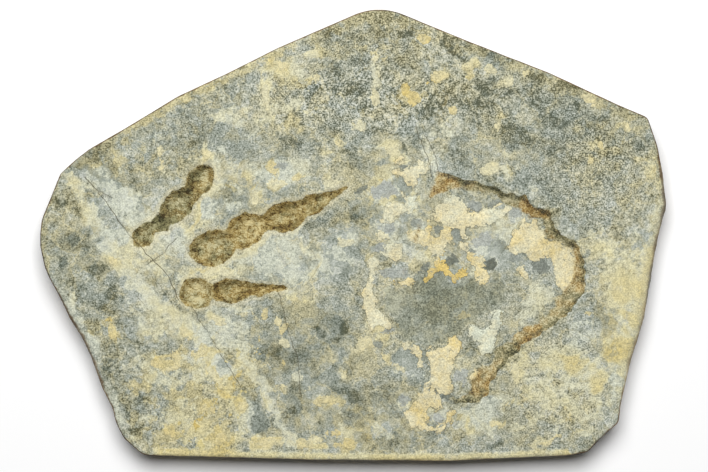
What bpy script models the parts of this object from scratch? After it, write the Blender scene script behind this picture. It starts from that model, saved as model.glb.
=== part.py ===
# A slab of bedded stone with two fossil dinosaur prints pressed in its upper face: a three-toed
# footprint in the left half, and the edge and floor of a large round print in the right half.
# Metres, +Z up out of the printed face, origin in the middle of the underside.

import math

import bmesh
import bpy
import numpy as np
from mathutils import Vector, geometry, noise

MM = 0.001

# Driving dimensions of the stone
SLAB_THICKNESS = 25.0 * MM      # underside to the general level of the printed face
SIDE_ROUGHNESS = 1.6 * MM       # how far the broken sides wander in from the outline
COURSE_WANDER = 1.3 * MM        # how far the bedding's breaks wander up and down
SWELL_HEIGHT = 0.9 * MM         # broad unevenness of the whole face
BROAD_SWELL = 70.0              # how far apart in mm its broad rises lie, and its smaller ones
SMALL_SWELL = 22.0
SMALL_SWELL_SHARE = 0.35        # height of the smaller rises as a share of the broad ones

# Driving dimensions of the prints
PAD_LIP = 0.3 * MM              # mud pushed up around each toe pad
PAD_FLAT = 0.35                 # reach of a pad's flat floor, where 1 is the edge of its oval
PAD_BRINK = 1.05                # reach at which its wall meets the face
LIP_CREST = 1.3                 # reach of the pushed-up mud's crest, and how far it spreads
LIP_SPREAD = 0.3
CLAW_FLAT = 0.2                 # the same two reaches of a claw mark, where 1 is its half width
CLAW_BRINK = 1.15
CLAW_RISE = 0.6                 # share of its depth that a claw mark loses towards its tip
PRINT_DEPTH = 3.4 * MM          # from the face down to the floor of the round print
STEP_LIP = 0.4 * MM             # face raised along the top of the print's step
STEP_LIP_WIDTH = 5.0            # mm over which that rise dies away
STEP_BRINK = 3.0                # distance in mm outside the step of a line that rounds its top
OPEN_SIDE_SLOPE = 52.0          # mm over which the print's open side rises back to the face
FLAKE_HEIGHT = 0.5 * MM         # crust left standing on the floor of the round print
FLAKE_SLOPE = 1.4               # width in mm of a flake's sloping edge

# Outline of the slab in mm, anticlockwise from the left end of its bottom edge:
# each corner's place, and the radius that rounds it.
OUTLINE = (
    (-147.5, -154.0, 12), (-107.5, -154.9, 60), (-24.0, -157.2, 90), (67.0, -157.9, 90),
    (115.0, -155.8, 80), (151.0, -154.0, 30), (164.2, -151.6, 6), (170.5, -144.6, 6),
    (178.0, -137.6, 9), (185.9, -131.0, 7), (187.4, -117.0, 30), (194.8, -88.4, 90),
    (204.3, -58.0, 60), (208.4, -33.8, 60), (213.9, -1.6, 60), (220.2, 21.5, 14),
    (217.0, 45.0, 40), (213.0, 63.0, 40), (206.2, 83.0, 6), (184.5, 92.3, 40),
    (136.9, 114.4, 80), (81.0, 136.2, 80), (17.5, 162.3, 44), (-54.3, 131.2, 90),
    (-88.6, 113.9, 60), (-122.9, 97.9, 60), (-159.6, 75.6, 60), (-184.5, 61.3, 40),
    (-194.5, 53.6, 20), (-205.5, 43.6, 7), (-212.2, 26.8, 40), (-218.6, 11.5, 24),
    (-220.2, -4.0, 24), (-216.6, -21.5, 20), (-213.4, -29.4, 10), (-205.9, -43.6, 10),
    (-199.9, -57.0, 30), (-191.5, -70.2, 30), (-185.3, -82.8, 40), (-176.8, -106.4, 40),
    (-169.0, -121.2, 20), (-166.6, -131.0, 20), (-161.2, -141.8, 12),
)
HALF_LENGTH = 225.0             # half of a box in mm that holds the outline with room to spare
HALF_WIDTH = 165.0
LONGEST_ARC = 0.48              # the most of a straight that a corner's arc may take up, as a share
OUTLINE_STATIONS = 124          # points round the edge
READING_STEP = 2.0 * MM         # spacing of the points that the rounded outline is read at

# The worn edge of the face: its usual width, and the stretches of outline where it is wider,
# each from one place to another in mm, anticlockwise, with the width it adds.
RIM_WIDTH = 3.2 * MM
WORN_STRETCHES = (
    ((188.0, -118.0), (211.0, 68.0), 6.0 * MM),
    ((-214.0, -28.0), (-166.0, -132.0), 4.4 * MM),
)
WORN_FADE = 0.03                # share of the way round over which a worn stretch comes in

# The sides. The worn edge falls in two courses: inset and fall as shares of the rim's width.
# Below it the bedding breaks in courses: inset in mm, and height as a share of the thickness.
RIM_COURSES = ((0.40, 0.16), (0.08, 0.46))
SIDE_COURSES = (
    (0.0, 0.74), (1.3, 0.62), (0.3, 0.54), (0.7, 0.37), (1.9, 0.28), (1.2, 0.10), (2.8, 0.0),
)
SIDE_GRAIN = 17.0 * MM          # how far apart the bumps of the sides lie along a course
COURSE_SHIFT = 9                # how much the bumps differ from one course to the next
COURSE_STRETCH = 0.6            # how much longer the rise and fall of a course is than its bumps

# Toe pads in mm: centre, half length, half width, turn in degrees, depth
TOE_PADS = (
    (-107.5, 38.5, 12.2, 9.2, 57, 4.2), (-123.5, 20.5, 15.5, 10.2, 47, 3.4),
    (-136.0, 8.5, 7.0, 5.6, 15, 1.6), (-146.5, 0.5, 10.0, 7.6, 62, 2.2),
    (-98.8, -8.8, 16.8, 12.6, 15, 3.8), (-75.5, 3.8, 14.8, 11.6, 28, 3.0),
    (-86.5, -3.5, 6.0, 7.8, 25, 2.6), (-61.5, 8.0, 5.5, 7.4, 30, 2.6),
    (-48.0, 13.5, 14.4, 10.8, 14, 4.0), (-30.0, 21.5, 9.2, 7.6, 12, 3.2),
    (-110.0, -40.0, 11.8, 11.2, 0, 3.4), (-86.5, -39.0, 12.8, 9.2, 2, 3.8),
)

# Claw marks in mm: start, end, half width at each, depth at the start
CLAWS = (
    (-24.0, 24.0, -5.0, 33.0, 5.0, 1.0, 2.6),
    (-77.0, -37.5, -48.5, -37.0, 5.2, 2.2, 3.0),
)

# The step round the large print in mm, from its upper end round the right to its lower end:
# the line at its top, and the softer line at its foot.
STEP_TOP = (
    (58.5, 46.0), (64.0, 44.0), (70.0, 41.5), (78.0, 40.5), (85.0, 38.5), (91.0, 36.0),
    (97.0, 35.0), (103.0, 34.0), (108.0, 30.0), (114.0, 28.5), (119.0, 29.0), (122.5, 25.0),
    (127.0, 19.0), (132.0, 18.5), (138.0, 19.5), (139.5, 12.0), (139.5, 5.0), (145.0, 0.0),
    (153.0, -3.0), (159.0, -7.5), (160.5, -15.0), (162.0, -25.0), (162.5, -35.0),
    (159.0, -43.0), (154.5, -50.0), (149.0, -57.0), (140.0, -62.0), (133.0, -66.5),
    (127.0, -71.0), (120.0, -75.0), (113.0, -80.5), (109.0, -86.5), (103.5, -93.0),
    (98.0, -100.5), (93.5, -108.0), (88.0, -115.0), (78.0, -117.5), (66.0, -118.5),
)
STEP_FOOT = (
    (55.0, 35.0), (64.0, 32.0), (76.0, 30.0), (94.0, 27.0), (108.0, 22.0), (117.0, 16.5),
    (122.0, 10.0), (130.0, 2.0), (141.0, -8.0), (150.0, -13.0), (153.5, -22.0), (153.0, -36.0),
    (148.0, -45.0), (139.0, -52.5), (128.0, -60.0), (116.0, -68.5), (106.0, -76.0),
    (97.0, -85.0), (90.0, -95.0), (83.0, -103.0), (76.0, -108.5), (64.0, -110.0),
)

# The print's open side in mm, from the step's lower end to its upper end, where the floor
# rises back to the face without a step
OPEN_SIDE = (
    (66.0, -118.5), (36.0, -106.0), (14.0, -80.0), (4.0, -45.0), (8.0, -8.0), (28.0, 28.0),
    (58.5, 46.0),
)

# Flakes of crust on the print's floor, in mm round each
FLAKES = (
    ((57, 21), (69, 27), (78, 22), (90, 14), (107, 19), (98, 8), (80, 8), (76, -1), (68, 6), (56, 9)),
    ((120, 11), (129, 10), (137, -2), (149, -12), (152, -24), (150, -38), (144, -34), (140, -17),
     (126, -13), (115, -14), (112, -6), (116, 3)),
    ((41, 5), (52, -2), (68, -8), (62, -20), (72, -24), (79, -22), (70, -34), (60, -27), (52, -30),
     (55, -14), (48, -5)),
    ((80, -13), (93, -14), (90, -22), (98, -27), (91, -34), (85, -21)),
    ((10, -18), (18, -16), (15, -36), (19, -48), (31, -62), (24, -67), (11, -59), (6, -44)),
    ((21, -3), (31, -1), (35, -10), (30, -17), (20, -13)),
    ((53, -79), (65, -76), (74, -70), (75, -81), (67, -98), (70, -108), (60, -112), (50, -104),
     (55, -92)),
    ((30, -120), (41, -113), (55, -111), (61, -118), (53, -125), (73, -124), (66, -134), (50, -139),
     (36, -132)),
    ((94, -57), (105, -54), (99, -72), (100, -80), (89, -80), (80, -69), (88, -63), (95, -67)),
)

# Where the crust is gone from the print's floor and the bed below it shows, in mm round it
BARE_FLOOR = (
    (21, -34), (42, -36), (52, -33), (61, -30), (70, -37), (78, -29), (92, -37), (104, -33),
    (100, -52), (84, -61), (66, -69), (57, -76), (36, -73), (31, -65), (21, -50),
)
BARE_FLOOR_DEPTH = 0.5 * MM

# The face's points lie closest in and near the toes: the spacing in mm, and the distances from
# the toes in mm that it holds between
POINT_BANDS = (
    (2.5, -HALF_LENGTH, 2.4),
    (4.4, 2.4, 8.0),
    (8.8, 8.0, 2 * HALF_LENGTH),
)
BAND_MARGIN = 0.4               # how far a band stops short of the band inside it, in spacings
LINE_SPACING = 5.5              # of the points along the steps and the flakes
LINE_CLEARANCE = 0.55           # how near the face's points come to those lines, in spacings
POINT_NUDGE = 0.16              # how far a point is nudged off its lattice, in spacings
NUDGE_GRAIN = 0.37              # how fast the nudge changes from one mm to the next
MERGE_DISTANCE = 0.01           # points nearer than this in mm are one point
SHARPEST_TURN = 0.6             # keeps a flake's inner line from running out at its sharp corners

STONE_COLOR = (0.40, 0.40, 0.33, 1.0)
STONE_ROUGHNESS = 0.85
SHARP_ANGLE = 40                # degrees; a bend sharper than this shows as an edge
NOISE_SHIFT = Vector((3.7, 8.1, 1.9))


def rounded_outline(corners):
    """The outline as a closed run of points in metres, each corner replaced by its arc."""
    points = []
    for index, (x, y, radius) in enumerate(corners):
        corner = Vector((x, y)) * MM
        back = Vector(corners[index - 1][:2]) * MM - corner
        ahead = Vector(corners[(index + 1) % len(corners)][:2]) * MM - corner
        half_angle = back.angle(ahead) / 2
        longest = LONGEST_ARC * min(back.length, ahead.length)
        reach = min(radius * MM / math.tan(half_angle), longest)
        arc_radius = reach * math.tan(half_angle)
        bisector = (back.normalized() + ahead.normalized()).normalized()
        centre = corner + bisector * math.hypot(arc_radius, reach)
        spoke = corner + back.normalized() * reach - centre
        turn = math.copysign(math.pi - 2 * half_angle, ahead.cross(back))
        steps = max(1, math.ceil(abs(turn) * arc_radius / READING_STEP))
        for step in range(steps + 1):
            angle = turn * step / steps
            points.append((
                centre.x + spoke.x * math.cos(angle) - spoke.y * math.sin(angle),
                centre.y + spoke.x * math.sin(angle) + spoke.y * math.cos(angle),
            ))
    return np.array(points)


class Outline:
    """The closed edge of the slab, read by its share of the way round."""

    def __init__(self, corners):
        loop = rounded_outline(corners)
        loop = np.vstack((loop, loop[:1]))
        travelled = np.concatenate(([0.0], np.cumsum(np.hypot(*np.diff(loop, axis=0).T))))
        self.count = int(travelled[-1] / READING_STEP)
        stations = np.arange(self.count) * travelled[-1] / self.count
        across, up = [np.interp(stations, travelled, loop[:, axis]) for axis in (0, 1)]
        self.points = np.column_stack((across, up))
        along = np.roll(self.points, -2, axis=0) - np.roll(self.points, 2, axis=0)
        along /= np.hypot(along[:, 0], along[:, 1])[:, None]
        self.outward = np.column_stack((along[:, 1], -along[:, 0]))
        self.worn = []
        for start, end, width in WORN_STRETCHES:
            self.worn.append((self.share_near(*start), self.share_near(*end), width))

    def at(self, share, inset=0.0):
        """The point at a share of the way round, moved in by inset."""
        place = (share % 1.0) * self.count
        low = int(place) % self.count
        high = (low + 1) % self.count
        blend = place - int(place)
        point = self.points[low] * (1 - blend) + self.points[high] * blend
        normal = self.outward[low] * (1 - blend) + self.outward[high] * blend
        return point - normal / np.hypot(*normal) * inset

    def share_near(self, x, y):
        """The share of the way round of the outline point nearest a place in mm."""
        gaps = np.hypot(self.points[:, 0] - x * MM, self.points[:, 1] - y * MM)
        return int(np.argmin(gaps)) / self.count

    def rim_width(self, share):
        """Width of the worn edge at a share of the way round."""
        width = RIM_WIDTH
        for start, end, extra in self.worn:
            coming = smooth_step(start, start + WORN_FADE, share)
            going = smooth_step(end - WORN_FADE, end, share)
            width += extra * coming * (1 - going)
        return width


def smooth_step(low, high, value):
    share = min(max((value - low) / (high - low), 0.0), 1.0)
    return share * share * (3 - 2 * share)


def oval_reach(x, y, centre_x, centre_y, half_length, half_width, turn):
    """How far a place lies from an oval's centre, where 1 is the oval's edge."""
    angle = math.radians(turn)
    along = (x - centre_x) * math.cos(angle) + (y - centre_y) * math.sin(angle)
    across = (y - centre_y) * math.cos(angle) - (x - centre_x) * math.sin(angle)
    return math.hypot(along / half_length, across / half_width)


def run_gap(x, y, points, closed=False):
    """The distance from a place to a run of points, and the share of the run passed."""
    ends = points[1:] + points[:1] if closed else points[1:]
    best = (1e9, 0.0)
    for index, (start, end) in enumerate(zip(points, ends)):
        step_x = end[0] - start[0]
        step_y = end[1] - start[1]
        share = ((x - start[0]) * step_x + (y - start[1]) * step_y) / (step_x ** 2 + step_y ** 2)
        share = min(max(share, 0.0), 1.0)
        gap = math.hypot(x - start[0] - share * step_x, y - start[1] - share * step_y)
        best = min(best, (gap, (index + share) / len(ends)))
    return best


def is_within(x, y, loop):
    """Whether a place lies within a closed run of points."""
    inside = False
    for index, (x_one, y_one) in enumerate(loop):
        x_two, y_two = loop[index - 1]
        if (y_one > y) != (y_two > y) and x < (x_two - x_one) * (y - y_one) / (y_two - y_one) + x_one:
            inside = not inside
    return inside


def pad_depth(x, y):
    """Depth of the toe pads and claws at a place in mm; the mud pushed up round them is negative."""
    depth = 0.0
    lip = 0.0
    for centre_x, centre_y, half_length, half_width, turn, deep in TOE_PADS:
        reach = oval_reach(x, y, centre_x, centre_y, half_length, half_width, turn)
        depth = max(depth, deep * MM * (1 - smooth_step(PAD_FLAT, PAD_BRINK, reach)))
        lip = max(lip, PAD_LIP * math.exp(-((reach - LIP_CREST) / LIP_SPREAD) ** 2))
    for start_x, start_y, end_x, end_y, wide, narrow, deep in CLAWS:
        gap, share = run_gap(x, y, ((start_x, start_y), (end_x, end_y)))
        fall = 1 - smooth_step(CLAW_FLAT, CLAW_BRINK, gap / (wide + (narrow - wide) * share))
        depth = max(depth, deep * MM * (1 - CLAW_RISE * share) * fall)
    return depth - lip * (1 - smooth_step(0.0, 2 * PAD_LIP, depth))


def print_depth(x, y):
    """Depth of the round print's step and floor at a place in mm."""
    from_top = run_gap(x, y, STEP_TOP)[0]
    rise = smooth_step(0.0, OPEN_SIDE_SLOPE, run_gap(x, y, OPEN_SIDE)[0])
    if not is_within(x, y, STEP_TOP + OPEN_SIDE):
        return -STEP_LIP * rise * math.exp(-(from_top / STEP_LIP_WIDTH) ** 2)
    if is_within(x, y, STEP_FOOT + OPEN_SIDE):
        return PRINT_DEPTH * rise
    from_foot = run_gap(x, y, STEP_FOOT)[0]
    return PRINT_DEPTH * rise * (1 - (from_foot / (from_top + from_foot)) ** 2)


def crust_height(x, y):
    """Height of the flakes of crust, or minus the depth of the bare floor, at a place in mm."""
    for loop in FLAKES:
        if is_within(x, y, loop):
            return FLAKE_HEIGHT * min(1.0, run_gap(x, y, loop, closed=True)[0] / FLAKE_SLOPE)
    if is_within(x, y, BARE_FLOOR):
        return -BARE_FLOOR_DEPTH * min(1.0, run_gap(x, y, BARE_FLOOR, closed=True)[0] / FLAKE_SLOPE)
    return 0.0


def swell(x, y):
    """Broad unevenness of the face at a place in mm."""
    broad = noise.noise(Vector((x, y, 0)) / BROAD_SWELL + NOISE_SHIFT)
    small = noise.noise(Vector((x, y, 0)) / SMALL_SWELL + NOISE_SHIFT)
    return SWELL_HEIGHT * (broad + SMALL_SWELL_SHARE * small)


def face_height(x, y):
    """Height of the printed face at a place in mm."""
    raised = swell(x, y) + crust_height(x, y)
    return SLAB_THICKNESS + raised - pad_depth(x, y) - print_depth(x, y)


def toe_gap(x, y):
    """Distance in mm, roughly, from a place to the nearest toe pad or claw."""
    gaps = []
    for start_x, start_y, end_x, end_y, wide, _, _ in CLAWS:
        gaps.append(run_gap(x, y, ((start_x, start_y), (end_x, end_y)))[0] - wide)
    for centre_x, centre_y, half_length, half_width, turn, _ in TOE_PADS:
        reach = oval_reach(x, y, centre_x, centre_y, half_length, half_width, turn)
        gaps.append((reach - 1) * half_width)
    return min(gaps)


def spaced(points, closed):
    """The same run with points added where two lie further apart than LINE_SPACING."""
    ends = points[1:] + points[:1] if closed else points[1:]
    run = []
    for start, end in zip(points, ends):
        pieces = max(1, round(math.dist(start, end) / LINE_SPACING))
        for piece in range(pieces):
            share = piece / pieces
            run.append(tuple(Vector(start).lerp(Vector(end), share)))
    return run if closed else run + [points[-1]]


def shrunk(loop, inset):
    """A closed run of points moved in by inset."""
    moved = []
    turn = sum(one[0] * two[1] - two[0] * one[1] for one, two in zip(loop, loop[1:] + loop[:1]))
    for index, point in enumerate(loop):
        before = (Vector(point) - Vector(loop[index - 1])).normalized()
        after = (Vector(loop[(index + 1) % len(loop)]) - Vector(point)).normalized()
        along = (before + after).normalized()
        inward = Vector((-along.y, along.x)) * math.copysign(1, turn)
        moved.append(tuple(Vector(point) + inward * inset / max(SHARPEST_TURN, along.dot(after))))
    return tuple(moved)


def step_brink():
    """The line a little outside the top of the round print's step."""
    brink = []
    for index, point in enumerate(STEP_TOP):
        before = Vector(STEP_TOP[max(index - 1, 0)])
        after = Vector(STEP_TOP[min(index + 1, len(STEP_TOP) - 1)])
        along = (after - before).normalized()
        brink.append(tuple(Vector(point) + Vector((-along.y, along.x)) * STEP_BRINK))
    return tuple(brink)


def step_middle():
    """The line halfway down the round print's step."""
    middle = []
    for x, y in STEP_TOP[1:-1]:
        gap, share = run_gap(x, y, STEP_FOOT)
        place = share * (len(STEP_FOOT) - 1)
        low = min(int(place), len(STEP_FOOT) - 2)
        foot = Vector(STEP_FOOT[low]).lerp(Vector(STEP_FOOT[low + 1]), place - low)
        middle.append(tuple(Vector((x, y)).lerp(foot, 0.5)))
    return tuple(middle)


def lattice(spacing):
    """Points of a triangular lattice over the slab's whole length and width, nudged a little."""
    row_height = spacing * math.sin(math.radians(60))
    points = []
    for row in range(int(2 * HALF_WIDTH / row_height)):
        for column in range(int(2 * HALF_LENGTH / spacing)):
            x = (column + 0.5 * (row % 2)) * spacing - HALF_LENGTH
            y = row * row_height - HALF_WIDTH
            nudge = noise.noise_vector(Vector((x, y, spacing)) * NUDGE_GRAIN + NOISE_SHIFT)
            nudge *= POINT_NUDGE * spacing
            points.append((x + nudge.x, y + nudge.y))
    return points


def face_net(outline):
    """The printed face as flat points, the edges that must show, and the rim points' stations."""
    stations = [index / OUTLINE_STATIONS for index in range(OUTLINE_STATIONS)]
    rim = [tuple(outline.at(share, outline.rim_width(share)) / MM) for share in stations]
    runs = [(rim, True)]
    for line in (step_brink(), STEP_TOP, step_middle(), STEP_FOOT):
        runs.append((spaced(line, False), False))
    for loop in FLAKES + (BARE_FLOOR,):
        runs += [(spaced(loop, True), True), (spaced(shrunk(loop, FLAKE_SLOPE), True), True)]
    lined = [point for run, _ in runs for point in run]

    points = list(lined)
    for spacing, nearest, furthest in POINT_BANDS:
        for x, y in lattice(spacing):
            gap = toe_gap(x, y) + BAND_MARGIN * POINT_BANDS[0][0]
            if not nearest + BAND_MARGIN * spacing < gap < furthest or not is_within(x, y, rim):
                continue
            if min(math.dist((x, y), point) for point in lined) > LINE_CLEARANCE * spacing:
                points.append((x, y))
    edges = []
    first = 0
    for run, closed in runs:
        last = first + len(run)
        edges += [(index, index + 1) for index in range(first, last - 1)]
        if closed:
            edges.append((last - 1, first))
        first = last
    return points, edges, stations


def build_face(bm, outline, station):
    """The printed face, as a net of triangles that follows the prints' edges."""
    points, edges, stations = face_net(outline)
    rim = list(range(len(stations)))
    flat = [Vector(point) for point in points]
    net = geometry.delaunay_2d_cdt(flat, edges, [rim], 1, MERGE_DISTANCE)
    places, _, faces, origins, _, _ = net
    verts = []
    for place, origin in zip(places, origins):
        vert = bm.verts.new((place.x * MM, place.y * MM, face_height(place.x, place.y)))
        of_rim = [index for index in origin if index < len(stations)]
        vert[station] = stations[of_rim[0]] if of_rim else 0.0
        verts.append(vert)
    for face in faces:
        bm.faces.new([verts[index] for index in face])


def build_sides(bm, outline, station):
    """Grow the worn edge and the broken sides down from the face, and close the underside."""
    rim = [edge for edge in bm.edges if edge.is_boundary]
    courses = [("rim", inset, fall) for inset, fall in RIM_COURSES]
    courses += [("side", inset * MM, height * SLAB_THICKNESS) for inset, height in SIDE_COURSES]
    for kind, inset, level in courses:
        grown = bmesh.ops.extrude_edge_only(bm, edges=rim)["geom"]
        rim = [item for item in grown if isinstance(item, bmesh.types.BMEdge)]
        for vert in {vert for edge in rim for vert in edge.verts}:
            share = vert[station]
            width = outline.rim_width(share)
            x, y = outline.at(share)
            height = level
            depth = inset
            if kind == "rim":
                height = SLAB_THICKNESS + swell(x / MM, y / MM) - level * width
                depth = inset * width
            around = Vector((x, y, level * COURSE_SHIFT)) / SIDE_GRAIN + NOISE_SHIFT
            wander = max(0.0, SIDE_ROUGHNESS * noise.noise(around))
            if 0.0 < level < SIDE_COURSES[0][1] * SLAB_THICKNESS and kind == "side":
                height += COURSE_WANDER * noise.noise(around * COURSE_STRETCH)
            vert.co = (*outline.at(share, depth + wander), height)
    bmesh.ops.contextual_create(bm, geom=rim)


def centre_over_origin(bm):
    """Move the slab so that the middle of its length and its width lies over the origin."""
    shift = Vector((0.0, 0.0, 0.0))
    for axis in (0, 1):
        places = [vert.co[axis] for vert in bm.verts]
        shift[axis] = -(min(places) + max(places)) / 2
    bmesh.ops.translate(bm, vec=shift, verts=bm.verts[:])


def build_slab():
    """The whole slab as one closed body."""
    outline = Outline(OUTLINE)
    bm = bmesh.new()
    station = bm.verts.layers.float.new("station")
    build_face(bm, outline, station)
    build_sides(bm, outline, station)
    centre_over_origin(bm)
    bmesh.ops.recalc_face_normals(bm, faces=bm.faces[:])
    mesh = bpy.data.meshes.new("track_slab")
    bm.to_mesh(mesh)
    bm.free()
    mesh.shade_smooth()
    mesh.set_sharp_from_angle(angle=math.radians(SHARP_ANGLE))
    slab = bpy.data.objects.new("track_slab", mesh)
    bpy.context.collection.objects.link(slab)
    return slab


def stone_material():
    """Weathered grey-olive stone."""
    material = bpy.data.materials.new("weathered_stone")
    material.use_nodes = True
    shader = material.node_tree.nodes["Principled BSDF"]
    shader.inputs["Base Color"].default_value = STONE_COLOR
    shader.inputs["Roughness"].default_value = STONE_ROUGHNESS
    shader.inputs["Metallic"].default_value = 0.0
    return material


def main():
    for thing in list(bpy.data.objects):
        bpy.data.objects.remove(thing)
    slab = build_slab()
    slab.data.materials.append(stone_material())
    triangles = sum(len(face.vertices) - 2 for face in slab.data.polygons)
    size = tuple(round(length, 4) for length in slab.dimensions)
    print("track_slab:", triangles, "triangles, size", size)


main()
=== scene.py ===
import math

import bmesh
import bpy
import numpy as np
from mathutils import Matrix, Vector, noise


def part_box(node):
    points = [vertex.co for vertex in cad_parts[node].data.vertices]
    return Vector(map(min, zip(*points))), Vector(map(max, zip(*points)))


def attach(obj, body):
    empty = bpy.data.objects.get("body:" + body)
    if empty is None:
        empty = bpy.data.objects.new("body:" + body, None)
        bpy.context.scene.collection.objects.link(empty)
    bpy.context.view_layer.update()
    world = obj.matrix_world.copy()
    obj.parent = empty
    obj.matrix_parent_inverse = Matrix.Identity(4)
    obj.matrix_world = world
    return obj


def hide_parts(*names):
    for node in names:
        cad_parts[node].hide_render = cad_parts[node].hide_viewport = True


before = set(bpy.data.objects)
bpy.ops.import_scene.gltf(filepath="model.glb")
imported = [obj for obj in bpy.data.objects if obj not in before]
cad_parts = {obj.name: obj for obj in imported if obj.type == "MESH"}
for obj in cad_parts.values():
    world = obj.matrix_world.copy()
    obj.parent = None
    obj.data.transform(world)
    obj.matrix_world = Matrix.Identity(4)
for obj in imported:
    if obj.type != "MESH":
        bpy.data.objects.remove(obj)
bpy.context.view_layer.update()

# A slab of bedded stone with a three-toed footprint, and beside it the edge and floor of a large
# round print. Lengths in the dictionaries below are in mm, from the middle of the slab: x to the
# right and y up, looking down on the face.
mm = 0.001
farOff = 1e6  # further than any place on the slab


# small tools for places on the slab

def smoothShare(low, high, value):
    share = np.clip((value - low) / (high - low), 0.0, 1.0)
    return share * share * (3.0 - 2.0 * share)


def noiseAt(places, size, seed):
    x = places[:, 0] / size + 3.7 * seed
    y = places[:, 1] / size - 1.9 * seed
    return np.array([noise.noise(Vector((a, b, seed))) for a, b in zip(x.tolist(), y.tolist())])


def bentPlaces(places, size, reach, seed):
    # the same places nudged about, so that what is drawn with them gets an uneven edge
    push = np.column_stack((noiseAt(places, size, seed), noiseAt(places, size, seed + 0.5)))
    return places + push * reach * 2.0


def bentBy(places, bends):
    for size, reach, seed in bends:
        places = bentPlaces(places, size, reach, seed)
    return places


def ovalReach(places, x, y, halfLength, halfWidth, turn):
    # 0 in the middle of the oval, 1 at its edge
    angle = math.radians(turn)
    dx = places[:, 0] - x
    dy = places[:, 1] - y
    along = dx * math.cos(angle) + dy * math.sin(angle)
    across = dy * math.cos(angle) - dx * math.sin(angle)
    return np.hypot(along / halfLength, across / halfWidth)


def softOval(places, oval):
    # 1 in the middle of the oval, fading out round its edge
    return 1.0 - smoothShare(0.66, 1.14, ovalReach(places, *oval))


def runGap(places, run, closed=False):
    # how far each place is from the run, where along its points that is, and which side it is on
    points = np.array(list(run) + ([run[0]] if closed else []), dtype=float)
    nearest = np.full(len(places), farOff)
    number = np.zeros(len(places))
    side = np.zeros(len(places))
    for index, (start, end) in enumerate(zip(points[:-1], points[1:])):
        step = end - start
        away = places - start
        along = np.clip(away @ step / (step @ step), 0.0, 1.0)
        gap = np.hypot(*(away - along[:, None] * step).T)
        closer = gap < nearest
        nearest[closer] = gap[closer]
        number[closer] = (index + along)[closer]
        side[closer] = np.sign(step[0] * away[:, 1] - step[1] * away[:, 0])[closer]
    return nearest, number, side


def isWithin(places, loop):
    inside = np.zeros(len(places), dtype=bool)
    x, y = places.T
    for index, (xOne, yOne) in enumerate(loop):
        xTwo, yTwo = loop[index - 1]
        if yOne != yTwo:
            crossing = (xTwo - xOne) * (y - yOne) / (yTwo - yOne) + xOne
            inside ^= ((yOne > y) != (yTwo > y)) & (x < crossing)
    return inside


def depthInside(places, shape):
    # mm in from the edge of an oval or of a loop of points, and less than 0 outside it
    if isinstance(shape[0], tuple):
        return np.where(isWithin(places, shape), 1.0, -1.0) * runGap(places, shape, True)[0]
    return (1.0 - ovalReach(places, *shape)) * min(shape[2], shape[3])


# the stone itself

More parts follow.
